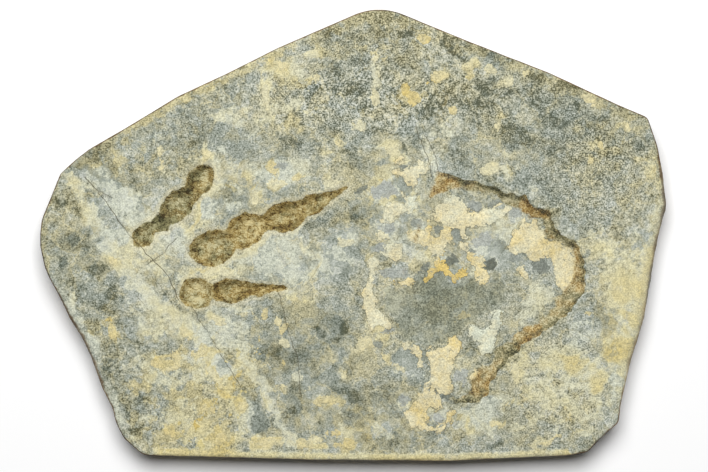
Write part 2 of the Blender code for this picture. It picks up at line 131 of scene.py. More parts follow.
slab = {
    "thickness": 25.0,
    "swell": 0.9,  # broad unevenness of the face
    "swellSizes": ((70, 1.0), (22, 0.35)),  # size of its waves, and each one's share
    "swellPlace": (3.7, 8.1, 1.9),  # where in the noise it is taken from
    "grain": ((9.0, 0.13), (4.2, 0.08), (2.4, 0.05)),  # size and height of its smaller bumps
    "rim": 2.4,  # width of the worn edge
    "wornStretches": (((188, -118), (211, 68), 6.0), ((-214, -28), (-166, -132), 4.4)),
    # courses down the edge: how far in and how far down, in shares of the rim's width
    "rimCourses": ((0.78, 0.03), (0.56, 0.09), (0.36, 0.19), (0.20, 0.32), (0.08, 0.46)),
    # courses down the broken sides: mm in, and height as a share of the thickness
    "sideCourses": (
        (0.1, 0.76), (0.3, 0.69), (1.4, 0.63), (1.2, 0.58), (0.3, 0.54), (0.5, 0.46), (0.8, 0.38),
        (1.8, 0.34), (1.9, 0.28), (1.3, 0.20), (1.1, 0.11), (1.7, 0.04), (2.8, 0.0),
    ),
    "sideRoughness": 1.6,
    "bedWander": 1.3,
    "cells": (344, 208),
    "corners": ((-161.2, -141.8), (185.9, -131.0), (206.2, 83.0), (-205.5, 43.6)),
    "centring": (0.03, -0.21),
    "sharpAngle": 55.0,
    # size, reach and seed of the bends that make drawn shapes uneven
    "bends": {
        "toes": ((5.0, 0.5, 2.0),),
        "stain": ((3.2, 0.5, 8.0),),
        "prints": ((10.0, 1.1, 4.0), (4.0, 0.7, 6.0)),
        "clouds": ((22.0, 3.0, 10.0), (7.0, 2.6, 12.0), (3.0, 1.2, 14.0)),
    },
    # each corner of the outline, anticlockwise, with the radius that rounds it
    "outline": (
        (-147.5, -154.0, 12), (-107.5, -154.9, 60), (-24.0, -157.2, 90), (67.0, -157.9, 90),
        (115.0, -155.8, 80), (151.0, -154.0, 30), (164.2, -151.6, 6), (170.5, -144.6, 6),
        (178.0, -137.6, 9), (185.9, -131.0, 7), (187.4, -117.0, 30), (194.8, -88.4, 90),
        (204.3, -58.0, 60), (208.4, -33.8, 60), (213.9, -1.6, 60), (220.2, 21.5, 14),
        (217.0, 45.0, 40), (213.0, 63.0, 40), (206.2, 83.0, 6), (184.5, 92.3, 40),
        (136.9, 114.4, 80), (81.0, 136.2, 80), (17.5, 162.3, 44), (-54.3, 131.2, 90),
        (-88.6, 113.9, 60), (-122.9, 97.9, 60), (-159.6, 75.6, 60), (-184.5, 61.3, 40),
        (-194.5, 53.6, 20), (-205.5, 43.6, 7), (-212.2, 26.8, 40), (-218.6, 11.5, 24),
        (-220.2, -4.0, 24), (-216.6, -21.5, 20), (-213.4, -29.4, 10), (-205.9, -43.6, 10),
        (-199.9, -57.0, 30), (-191.5, -70.2, 30), (-185.3, -82.8, 40), (-176.8, -106.4, 40),
        (-169.0, -121.2, 20), (-166.6, -131.0, 20), (-161.2, -141.8, 12),
    ),
    # stretches of the edge with a tint of their own, partly painted light on the bottom one: from, to, width,
    # how much lighter and warmer
    "rimTintsAndPaintedLight": (
        # the first stretch here, along the bottom: a cream tint, lightened further as painted light against
        # the shade the lamp leaves on that rim
        ((-148, -154), (165, -151), 6.0, 1.0, 0.9), ((188, -118), (212, 60), 10.0, 0.7, 0.5),
        ((206, 83), (60, 143), 8.0, -0.25, 0.7), ((60, 143), (-40, 137), 10.0, -0.2, 0.8),
        ((-40, 137), (-165, 72), 8.0, 0.2, 0.9), ((-165, 72), (-205, 44), 9.0, -0.45, 1.2),
        ((-206, 43), (-214, -28), 6.0, -0.3, 0.5), ((-213, -30), (-161, -142), 9.0, 0.5, -0.5),
    ),
}


def roundedOutline(corners):
    # the outline as points 1 mm apart, each corner replaced by its arc, and the way out at each
    points = []
    for index, (x, y, radius) in enumerate(corners):
        corner = Vector((x, y))
        back = Vector(corners[index - 1][:2]) - corner
        ahead = Vector(corners[(index + 1) % len(corners)][:2]) - corner
        halfAngle = back.angle(ahead) / 2
        reach = min(radius / math.tan(halfAngle), 0.48 * back.length, 0.48 * ahead.length)
        arcRadius = reach * math.tan(halfAngle)
        inward = (back.normalized() + ahead.normalized()).normalized()
        middle = corner + inward * math.hypot(arcRadius, reach)
        spoke = corner + back.normalized() * reach - middle
        turn = math.copysign(math.pi - 2 * halfAngle, ahead.cross(back))
        steps = max(1, math.ceil(abs(turn) * arcRadius))
        for step in range(steps + 1):
            angle = turn * step / steps
            points.append((
                middle.x + spoke.x * math.cos(angle) - spoke.y * math.sin(angle),
                middle.y + spoke.x * math.sin(angle) + spoke.y * math.cos(angle),
            ))
    loop = np.array(points + points[:1])
    travelled = np.concatenate(([0.0], np.cumsum(np.hypot(*np.diff(loop, axis=0).T))))
    stations = np.arange(int(travelled[-1])) * travelled[-1] / int(travelled[-1])
    places = np.column_stack([np.interp(stations, travelled, loop[:, axis]) for axis in (0, 1)])
    along = np.roll(places, -3, axis=0) - np.roll(places, 3, axis=0)
    outward = np.column_stack((along[:, 1], -along[:, 0]))
    return places, outward / np.hypot(*outward.T)[:, None]


edgePlaces, edgeOutward = roundedOutline(slab["outline"])


def edgeShare(place):
    # share of the way round of the outline point nearest a place
    return int(np.argmin(np.hypot(*(edgePlaces - place).T))) / len(edgePlaces)


def edgeAt(shares, inset):
    # outline points at these shares of the way round, moved in by inset
    station = (shares % 1.0) * len(edgePlaces)
    low = station.astype(int) % len(edgePlaces)
    high = (low + 1) % len(edgePlaces)
    blend = (station - station.astype(int))[:, None]
    outward = edgeOutward[low] * (1 - blend) + edgeOutward[high] * blend
    places = edgePlaces[low] * (1 - blend) + edgePlaces[high] * blend
    return places - outward * np.asarray(inset)[..., None]


def betweenShares(shares, start, end, fade):
    # 1 on the way round from one place to another, fading in and out at its ends
    first = edgeShare(start)
    span = (edgeShare(end) - first) % 1.0
    travelled = (shares - first) % 1.0
    return smoothShare(0.0, fade, travelled) * (1 - smoothShare(span - fade, span, travelled))


def rimWidth(shares):
    width = np.full(len(shares), slab["rim"])
    for start, end, extra in slab["wornStretches"]:
        width += extra * betweenShares(shares, start, end, 0.03)
    return width


def swellAt(places):
    right, up, level = slab["swellPlace"]
    height = np.zeros(len(places))
    for size, share in slab["swellSizes"]:
        waves = [noise.noise(Vector((x / size + right, y / size + up, level))) for x, y in places.tolist()]
        height += share * np.array(waves)
    return slab["swell"] * height


def rimTintAndPaintedLight(places):
    # how much lighter and warmer the stone is near its edge, partly as painted light along the bottom rim
    inset, number, _ = runGap(places, edgePlaces[::4].tolist(), True)
    shares = number * 4 / len(edgePlaces)
    lighter, warmer = np.zeros((2, len(places)))
    for start, end, width, light, warm in slab["rimTintsAndPaintedLight"]:
        near = 1 - smoothShare(0.55 * width, 1.1 * width, inset)
        weight = betweenShares(shares, start, end, 0.015) * near
        lighter += light * weight
        warmer += warm * weight
    return lighter, warmer


# the three-toed footprint

toes = {
    "lip": 0.3,  # mud pushed up round each pad
    "blend": 1.1,  # how roundly the stain of one pad runs into the next
    # centre, half length, half width, turn, depth, then how warm the stain is and how dark
    "pads": (
        (-107.5, 38.5, 12.2, 9.2, 57, 4.2, 0.45, 0.10), (-123.5, 20.5, 15.5, 10.2, 47, 3.4, 0.25, 0.16),
        (-136.0, 8.5, 7.0, 5.6, 15, 1.6, 0.05, 0.26), (-146.5, 0.5, 10.0, 7.6, 62, 2.2, 0.30, 0.12),
        (-98.8, -8.8, 16.8, 12.6, 15, 3.8, 0.55, 0.00), (-75.5, 3.8, 14.8, 11.6, 28, 3.0, 0.75, 0.02),
        (-48.0, 13.5, 14.4, 10.8, 14, 4.0, 0.80, 0.16), (-30.0, 21.5, 9.2, 7.6, 12, 3.2, 0.85, 0.16),
        (-110.0, -40.0, 11.8, 11.2, 0, 3.4, 0.40, -0.04), (-86.5, -39.0, 12.8, 9.2, 2, 3.8, 0.75, 0.10),
    ),
    # the low saddles between the pads of the middle toe, as the first six numbers of a pad
    "saddles": ((-86.5, -3.5, 6.0, 7.8, 25, 2.6), (-61.5, 8.0, 5.5, 7.4, 30, 2.6)),
    "saddleInset": 1.6,  # how much narrower the stain is there
    "seam": (0.30, 1.3),  # how much darker the stain is where two pads meet, and over what width
    # start, end, half width at each, depth at the start, how warm and how dark
    "claws": (
        (-24.0, 24.0, -5.0, 33.0, 5.0, 1.0, 2.6, 0.50, 0.12),
        (-77.0, -37.5, -48.5, -37.0, 5.2, 2.2, 3.0, 0.80, 0.02),
        (-66.0, -40.0, -64.0, -41.5, 2.4, 1.4, 1.0, 0.80, 0.10),
        (-110.0, 34.0, -109.0, 29.0, 4.0, 2.6, 1.0, 0.50, 0.10),
        (-134.0, 7.0, -130.5, 4.0, 3.0, 1.6, 0.8, 0.05, 0.30),
    ),
    "wrinkles": (3.6, 0.55),
    # marks in the stain: centre, half length, half width, turn, how much darker (or paler, below 0)
    "marks": (
        (-112.2, 38, 9.5, 4.6, 60, 0.42), (-114, 32, 3, 3, 0, 0.20), (-106, 48, 5, 1.6, 20, 0.30),
        (-102.5, 40, 7, 4.0, 70, -0.16), (-120, 30, 7, 2.4, 30, 0.20), (-132, 16, 3, 5, 20, 0.15),
        (-119, 17, 7, 6, 45, -0.10), (-127, 23, 5, 3, 40, -0.08), (-115, 22, 2, 7, -35, 0.10),
        (-135, 11.5, 5, 2.6, -10, 0.28), (-141, 11, 3, 3, 0, 0.10), (-145, -4, 3.4, 2.6, -40, 0.28),
        (-150.5, 0.5, 2, 3, 0, 0.15), (-145, 7, 3, 2, 0, 0.10), (-140, -3, 4, 6, 0, -0.24),
        (-111.5, -9, 3.4, 5, 20, 0.18), (-106, -20, 4, 3, 0, 0.26), (-101, 1.5, 8, 2.2, 8, 0.16),
        (-97, -8, 8, 4.6, 15, -0.14), (-107, -10.5, 2, 2, 0, 0.15), (-100, -12, 2, 1.6, 0, 0.16),
        (-88, -15, 6, 2, 40, 0.10), (-84, 3, 5, 7, 20, 0.16), (-79, 13.5, 5, 3, 30, 0.04),
        (-69, 9, 6, 6, 0, -0.14), (-68, -3, 6, 4, 0, -0.10), (-82, -1, 3, 2, 0, 0.10),
        (-47, 18.5, 7, 4, 10, 0.14), (-49, 6.5, 9, 2.0, 5, 0.30), (-47, 12, 8, 1.8, 5, -0.20),
        (-52, 5, 2, 2, 0, 0.20), (-58, 14, 3, 5, 0, -0.08), (-61, 10, 2, 5, 0, 0.10),
        (-31, 25.5, 6, 2.4, 20, 0.16), (-30, 16, 6, 2.4, 10, -0.14), (-36, 20, 2, 5, 0, 0.10),
        (-22, 21, 2, 3, 0, 0.12), (-110, -39, 7, 6, 0, -0.10), (-113, -36.5, 3, 1.6, 0, 0.16),
        (-110, -48, 7, 2, 0, -0.06), (-118.5, -37, 2, 4, 0, 0.10), (-93, -33, 4, 2.2, 25, 0.32),
        (-86, -41, 6, 3.4, 0, -0.12), (-83, -33, 1.4, 3, 30, 0.16), (-96.5, -39, 2, 5, 0, 0.20),
        (-92, -45, 4, 1.6, -30, 0.14), (-67, -36.5, 2, 1.6, 0, 0.20), (-60, -37, 3, 2, 0, -0.06),
        (-52, -36.5, 3, 1.8, 0, 0.20), (-88, -47, 4, 1.4, 10, 0.16),
    ),
}


def padDepth(places):
    depth = np.zeros(len(places))
    lip = np.zeros(len(places))
    for pad in toes["pads"] + toes["saddles"]:
        reach = ovalReach(places, *pad[:5])
        depth = np.maximum(depth, pad[5] * (1 - smoothShare(0.40, 1.05, reach)))
        lip = np.maximum(lip, toes["lip"] * np.exp(-((reach - 1.3) / 0.3) ** 2))
    for xStart, yStart, xEnd, yEnd, startWidth, endWidth, clawDepth, *_ in toes["claws"]:
        gap, along, _ = runGap(places, ((xStart, yStart), (xEnd, yEnd)))
        fall = 1 - smoothShare(0.2, 1.15, gap / (startWidth + (endWidth - startWidth) * along))
        depth = np.maximum(depth, clawDepth * (1 - 0.6 * along) * fall)
    return depth - lip * (1 - smoothShare(0.0, 0.5, depth))


def toeStain(places):
    # mm in from the edge of the stain, how dark it is and how warm
    gaps, darks, warms = [], [], []
    for pad in toes["pads"]:
        gaps.append(depthInside(places, pad[:5]))
        warms.append(pad[6])
        darks.append(pad[7])
    for xStart, yStart, xEnd, yEnd, startWidth, endWidth, _, warm, dark in toes["claws"]:
        gap, along, _ = runGap(places, ((xStart, yStart), (xEnd, yEnd)))
        gaps.append(startWidth + (endWidth - startWidth) * along - gap)
        warms.append(warm)
        darks.append(dark)
    for saddle in toes["saddles"]:
        gaps.append(depthInside(places, saddle[:5]) - toes["saddleInset"])
        darks.append(0.12)
        warms.append(0.8)
    weights = np.exp(np.clip(gaps, -12, 8))
    total = weights.sum(axis=0)
    dark = (weights * np.array(darks)[:, None]).sum(axis=0) / total
    warm = (weights * np.array(warms)[:, None]).sum(axis=0) / total
    for mark in toes["marks"]:
        dark += mark[5] * softOval(places, mark[:5])
    second, first = np.sort(np.array(gaps), axis=0)[-2:]
    seamDark, seamWidth = toes["seam"]
    dark += seamDark * np.exp(-((first - second) / seamWidth) ** 2) * smoothShare(0.0, 3.0, second)
    blend = toes["blend"]
    return np.log(np.exp(np.clip(gaps, -30, 30) / blend).sum(axis=0)) * blend, dark, warm


# the round print: a step round its far side, and a floor that rises to the face on the open side

roundPrint = {
    "depth": 3.4,
    "lip": 0.4,
    "openSlope": 52.0,  # width of the slope on its open side
    # the outer line of the step, with the width of the stain inside it, how dark its line is from stain and
    # painted shade, and how warm it is
    "top": (
        (58.5, 46.0, 20, 0.4, 1.05), (64.0, 44.0, 18, 0.5, 1.00), (70.0, 41.5, 9, 0.8, 0.70),
        (78.0, 40.5, 6, 0.7, 0.55), (85.0, 38.5, 7, 0.8, 0.45), (91.0, 36.0, 6, 0.8, 0.15),
        (97.0, 35.0, 6, 0.9, 0.05), (103.0, 34.0, 8, 0.9, 0.05), (108.0, 30.0, 9, 0.9, 0.15),
        (114.0, 28.5, 9, 0.7, 0.45), (119.0, 29.0, 9, 0.7, 0.75), (122.5, 25.0, 9, 0.6, 1.10),
        (127.0, 19.0, 8, 0.7, 1.20), (132.0, 18.5, 8, 0.8, 1.00), (138.0, 19.5, 10, 0.9, 0.50),
        (139.5, 12.0, 9, 0.9, 0.50), (139.5, 5.0, 7, 0.8, 0.45), (145.0, 0.0, 5, 0.9, 0.30),
        (153.0, -3.0, 6, 0.5, 0.45), (159.0, -7.5, 7, 0.4, 0.55), (160.5, -15.0, 6, 0.7, 0.65),
        (162.0, -25.0, 8, 0.6, 0.75), (162.5, -35.0, 11, 0.4, 0.80), (159.0, -43.0, 11, 0.9, 0.60),
        (154.5, -50.0, 12, 0.9, 0.65), (149.0, -57.0, 10, 0.8, 0.60), (140.0, -62.0, 8, 0.8, 0.45),
        (133.0, -66.5, 9, 0.3, 0.80), (127.0, -71.0, 9, 0.0, 1.00), (120.0, -75.0, 8, 0.2, 0.90),
        (113.0, -80.5, 8, 0.9, 0.20), (109.0, -86.5, 11, 0.9, 0.10), (103.5, -93.0, 10, 0.6, 0.40),
        (98.0, -100.5, 10, 0.2, 0.60), (93.5, -108.0, 12, 0.0, 0.70), (88.0, -115.0, 10, 0.2, 0.60),
        (78.0, -117.5, 6, 0.8, 0.05), (66.0, -118.5, 5, 0.7, 0.00),
    ),
    # the line where the step meets the floor
    "foot": (
        (55.0, 35.0), (64.0, 32.0), (76.0, 30.0), (94.0, 27.0), (108.0, 22.0), (117.0, 16.5),
        (122.0, 10.0), (130.0, 2.0), (141.0, -8.0), (150.0, -13.0), (153.5, -22.0), (153.0, -36.0),
        (148.0, -45.0), (139.0, -52.5), (128.0, -60.0), (116.0, -68.5), (106.0, -76.0),
        (97.0, -85.0), (90.0, -95.0), (83.0, -103.0), (76.0, -108.5), (64.0, -110.0),
    ),
    "openSide": (
        (66.0, -118.5), (36.0, -106.0), (14.0, -80.0), (4.0, -45.0), (8.0, -8.0), (28.0, 28.0), (58.5, 46.0),
    ),
    "bareDepth": 0.5,
    "bareFloor": (
        (22, -35), (30, -35.5), (42, -35.5), (47, -29), (55, -29), (61, -27), (70, -36), (76, -30), (84, -30),
        (93, -37), (98, -30), (105, -34), (104, -47), (97, -54), (84, -60), (72, -69), (62, -77), (48, -75),
        (37, -74), (31, -65), (24, -54), (21, -44),
    ),
    "flakeHeight": 0.5,
    # flakes of crust left standing, each with its tone: 0 whitish, 0.5 cream, 1 ochre
    "flakes": (
        (0.35, (
            (57, 20), (60, 25), (66, 27.5), (75, 26.5), (77, 23), (79, 18.5), (86, 14.5), (92, 16.5),
            (99, 19.5), (105, 21.5), (109.5, 19.5), (106, 14), (102, 11), (98, 6.5), (90, 7.5), (81, 7),
            (78.5, 4.5), (79.5, 0), (77, -1.5), (75, 0.5), (75, 4.5), (66, 6), (60, 8), (56, 11),
        )),
        (0.55, (
            (119, 13), (121, 11), (125, 10), (129, 11), (131, 3), (135, -3), (146, -5), (153, -10),
            (156, -17), (156, -27), (153, -35), (150, -39), (146, -38), (143, -36), (141, -26),
            (139, -20), (138, -14), (128, -14), (124, -17), (120, -15), (112, -12), (109, -8), (113, -3),
            (115, 3),
        )),
        (0.62, (
            (66, 5), (69, 3), (69, -3), (71, -6), (66, -8), (63, -11), (61, -18), (56, -18), (57, -14),
            (52, -8), (48, -4), (40, -2), (40, 3.5), (49, 4), (52, 12), (55, 9), (55, 1), (59, -1),
            (61, 4),
        )),
        (1.00, (
            (63, -12), (62, -19), (66, -22.5), (70, -25), (75, -23), (79, -24), (75, -27), (72, -32),
            (70, -34.5), (67, -31), (62, -26), (58, -26), (55, -29.5), (50, -32), (53, -26), (56, -20),
            (57, -13),
        )),
        (0.70, (
            (80, -13.5), (93, -14.5), (95.5, -16), (92, -20), (89, -22.5), (94, -26), (98, -27),
            (95, -31), (92, -35), (89, -30), (88, -23), (84, -19),
        )),
        (0.45, (77, -8, 3.3, 3.1, 0)),
        (0.50, ((114, -23), (118, -22), (122, -26), (123, -29), (119, -28.5), (114, -26))),
        (0.40, (
            (10, -18), (13, -15), (17, -15.5), (19, -19), (17, -24), (15, -30), (13, -36), (15, -42),
            (18, -46), (16, -51), (20, -55), (25, -60), (24, -65), (18, -62), (12, -66), (10, -60),
            (8, -53), (6.5, -46), (8, -38), (11, -30), (10, -24),
        )),
        (0.35, ((20, -13), (23, -8), (23, -5), (34, -4), (35, -14), (31, -16), (25, -14))),
        (0.42, ((15, -3.5), (20, -3), (23, -4), (29, -1), (24, 0), (21, 1), (20, 4), (16, 4))),
        (0.40, (
            (20, 12), (22, 23), (35, 24), (34, 31), (36, 33), (40, 25), (42, 20), (38, 15), (30, 12),
            (25, 10),
        )),
        (0.20, ((38, 28), (44, 34), (45, 27), (43, 21), (39, 16), (36, 20))),
        (0.45, (
            (27, 45), (30, 41), (34, 40), (38, 35), (42, 36), (45, 42), (50, 42), (52, 45), (51, 50),
            (44, 51), (39, 48), (36, 44), (31, 46),
        )),
        (0.50, ((31, 51), (33, 56), (37, 56), (35, 52), (33, 50))),
        (0.70, ((29, -33), (33, -31), (42, -30.5), (42.5, -33), (37, -34.5), (31, -34.5))),
        (0.60, (
            (52, -77), (57, -79), (63, -77), (66, -75), (69, -71), (72, -70.5), (75, -73), (75, -79),
            (72, -84), (70, -88), (69, -93), (67, -97), (66, -101), (70, -106), (68, -109.5), (64, -111),
            (60, -109), (58, -106), (55, -109), (60, -114), (61, -119), (59, -123), (54, -121),
            (51, -128), (53, -133), (60, -133), (64, -129), (66, -124), (70, -124), (68, -130),
            (65, -136), (57, -138), (50, -137), (44, -135.5), (39, -136), (37, -131), (34, -126),
            (37, -120), (42, -115), (48, -111), (48, -105), (54, -101), (55, -92), (52, -87), (49, -85),
            (50, -80),
        )),
        (0.45, ((35, -76), (43, -76), (48, -80), (49, -92), (46, -96), (44, -88), (41, -82))),
        (0.10, (
            (94, -57), (98, -54), (105, -53), (104, -60), (101, -66), (98, -71), (99, -77), (98, -82),
            (90, -83), (88, -78), (90, -74), (83, -72), (80, -67), (84, -63), (88, -65), (92, -67),
            (95, -63),
        )),
        (0.60, ((82, -98), (85, -96), (90, -97), (88, -101), (83, -102.5))),
    ),
}
stepLine = [point[:2] for point in roundPrint["top"]]


def printDepth(places):
    fromTop = runGap(places, stepLine)[0]
    fromFoot = runGap(places, roundPrint["foot"])[0]
    rise = smoothShare(0.0, roundPrint["openSlope"], runGap(places, roundPrint["openSide"])[0])
    inside = isWithin(places, stepLine + list(roundPrint["openSide"]))
    pastFoot = isWithin(places, roundPrint["foot"] + roundPrint["openSide"])
    fallen = np.where(pastFoot, 1.0, 1 - (fromFoot / (fromTop + fromFoot + 1e-6)) ** 2)
    lip = roundPrint["lip"] * rise * np.exp(-(fromTop / 5.0) ** 2)
    return np.where(inside, roundPrint["depth"] * fallen * rise, -lip)


def stepStainAndShade(places):
    # mm in from the outer line, the width of the stain there, how dark from stain and painted shade, how
    # warm, and how strong it is
    gap, number, _ = runGap(places, stepLine)
    inside = isWithin(places, stepLine + list(roundPrint["openSide"]))
    last = len(stepLine) - 1
    points = np.arange(last + 1)
    stain = zip(*[point[2:] for point in roundPrint["top"]])
    width, dark, warm = [np.interp(number, points, column) for column in stain]
    strength = smoothShare(0.0, 0.4, number) * (1 - smoothShare(last - 0.4, last, number))
    return np.where(inside, gap, -gap), width, dark, warm, strength


# cracks, and one painted shadow line along the edge of a crust flake

cracksAndShadowLines = {
    "depth": 0.35,
    "halfWidth": 0.8,
    # how plainly each one shows, and the line it follows
    "runs": (
        (0.9, ((-188, 41), (-185, 37), (-181, 33.5), (-177, 28), (-172, 23), (-168, 16), (-162, 7), (-157, 1),
               (-152, -5), (-147, -10.5), (-143, -14), (-140, -17), (-135, -22), (-131, -27), (-126, -36),
               (-122, -45))),
        (0.7, ((-181, 33.5), (-177, 31.5), (-173, 29), (-169, 27))),
        (0.9, ((-143, -19), (-139, -16.5), (-135, -14), (-132, -11.5), (-129, -7), (-126, -3.5), (-124, -2))),
        (0.4, ((-140, -30), (-134, -37), (-130, -44), (-126, -50))),
        (0.4, ((-152, -42), (-149, -45), (-147, -48))),
        (0.7, ((-113, -50), (-108, -59), (-102, -68), (-95, -79), (-90, -88), (-84, -97), (-79, -106))),
        (0.7, ((-53, -39), (-50, -48), (-47, -62), (-43, -74), (-39, -86), (-38, -98), (-37, -112))),
        (0.8, ((44, 77), (47, 66), (51, 58), (54, 48), (55, 41))),
        (0.7, ((50, 70), (55, 62), (57.5, 55), (59, 46))),
        (0.4, ((22, -35), (20.5, -38), (20, -44), (22, -50), (25, -55), (27, -60))),
        (0.3, ((44, -34), (42, -38), (44, -44), (44, -50))),
        (0.35, ((118, 10), (109, -4), (100, -19), (95, -30))),
        (0.35, ((65, -9), (74, -16), (83, -26))),
        # not a crack: painted shadow along the left edge of a crust flake
        (0.4, ((26, -117), (29, -122), (32, -126), (36, -133))),
        (0.4, ((-35, 0), (-31, -8), (-27, -14), (-25, -21), (-28, -28), (-33, -34))),
        (0.3, ((104, -51), (109, -51), (114, -54), (118, -52), (124, -47))),
        (0.4, ((101, -75), (104, -78), (106, -82))),
        (0.3, ((-68, 128), (-66, 112), (-63, 96), (-60, 84))),
        (0.3, ((186, 90), (192, 66), (199, 42), (202, 20))),
        (0.3, ((8, -28), (5, -40), (8, -54), (12, -66), (20, -76))),
    ),
}


def crackAndShadowLineGap(places):
    # mm to the nearest of the cracks and the painted shadow line, less than 0 on one side of it, and how
    # plainly that line shows
    nearest = np.full(len(places), farOff)
    signed = np.full(len(places), farOff)
    plain = np.zeros(len(places))
    for strength, run in cracksAndShadowLines["runs"]:
        gap, _, side = runGap(places, run)
        closer = gap < nearest
        nearest[closer] = gap[closer]
        signed[closer] = (gap * side)[closer]
        plain[closer] = strength
    return nearest, signed, plain


# soft changes of colour over the face

# broad ones: oval, then how much lighter, warmer, grainier and more flecked the stone is there
zones = (
    (15, 140, 75, 22, 0, -0.15, 0.35, 0.2, 0.0), (0, 95, 75, 25, 0, -0.2, 0.0, 0.3, 0.3),
    (120, 85, 80, 25, -22, -0.5, 0.0, 0.2, 0.1), (170, 40, 40, 35, 0, -0.1, 0.1, 0.2, 0.0),
    (185, -20, 26, 30, 0, 0.35, 0.3, 0.0, 0.0), (150, -105, 35, 40, 0, 0.5, 0.35, 0.2, 0.4),
    (-140, 60, 60, 20, 25, 0.0, 0.15, 0.0, 0.3), (-192, -12, 20, 30, 0, -0.5, 0.0, -0.1, 0.0),
    (-110, -115, 55, 38, 0, 0.35, 0.5, 0.0, 0.9), (-35, -85, 45, 40, 0, -0.1, 0.0, -0.15, 0.2),
    (10, -130, 65, 25, 0, 0.1, 0.1, -0.15, 0.2), (-45, -20, 36, 22, 0, 0.5, -0.3, -0.25, 0.0),
    (-10, -12, 16, 22, 0, 0.1, -0.5, -0.2, 0.0), (-128, -60, 35, 14, 0, 0.4, 0.2, -0.2, 0.0),
    (-150, 10, 30, 50, 40, 0.3, -0.1, -0.1, 0.0), (-145, -10, 30, 25, 0, 0.3, 0.1, -0.1, 0.0),
    (75, -5, 50, 35, 0, 0.3, 0.0, -0.2, 0.0), (65, -48, 34, 20, -5, -0.4, 0.1, 0.0, 0.0),
    (195, -50, 22, 60, -14, 0.45, 0.35, -0.3, 0.0), (-90, -75, 30, 25, 0, 0.4, 0.1, -0.1, 0.4),
    (-50, 112, 22, 14, 0, 0.55, 0.2, 0.0, 0.4), (85, -128, 20, 13, 0, 0.9, 0.2, -0.1, 0.3),
    (-42, 44, 20, 9, 0, 0.55, 0.1, 0.0, 0.4), (128, -45, 11, 10, 0, 0.4, 0.0, 0.0, 0.2),
    (29, -46, 8, 12, 0, 0.6, 0.0, 0.0, 0.0), (-190, -25, 12, 14, 0, 0.45, 0.0, 0.0, 0.0),
    (-176, -70, 8, 11, 0, 0.1, 0.6, 0.0, 0.2), (-140, -140, 14, 9, 0, 0.0, 0.4, 0.0, 0.5),
    (5, -137, 20, 9, 0, 0.4, 0.2, -0.1, 0.2), (47, -122, 14, 13, 0, 0.5, 0.5, 0.0, 0.3),
    (110, 95, 26, 12, -20, 0.3, 0.0, -0.1, 0.0), (-65, 87, 36, 8, 8, 0.5, 0.25, 0.0, 0.2),
    (135, 76, 22, 11, -15, 0.35, 0.0, -0.1, 0.0), (-100, -142, 48, 11, 0, 0.1, 0.4, 0.0, 0.3),
    (95, 0, 30, 16, 0, 0.0, 0.0, -0.2, 0.7), (30, 30, 22, 24, 0, 0.0, 0.1, -0.1, 0.6),
    (-185, -72, 5, 14, 20, 0.5, -0.2, 0.0, 0.0), (28, 20, 25, 40, 0, 0.3, 0.1, -0.2, 0.3),
    (-75, 30, 40, 30, 0, 0.3, -0.1, -0.2, 0.5), (160, -68, 14, 14, 0, 0.0, -0.5, 0.0, 0.0),
    (40, -88, 14, 12, 0, 0.2, -0.4, -0.2, 0.3),
)

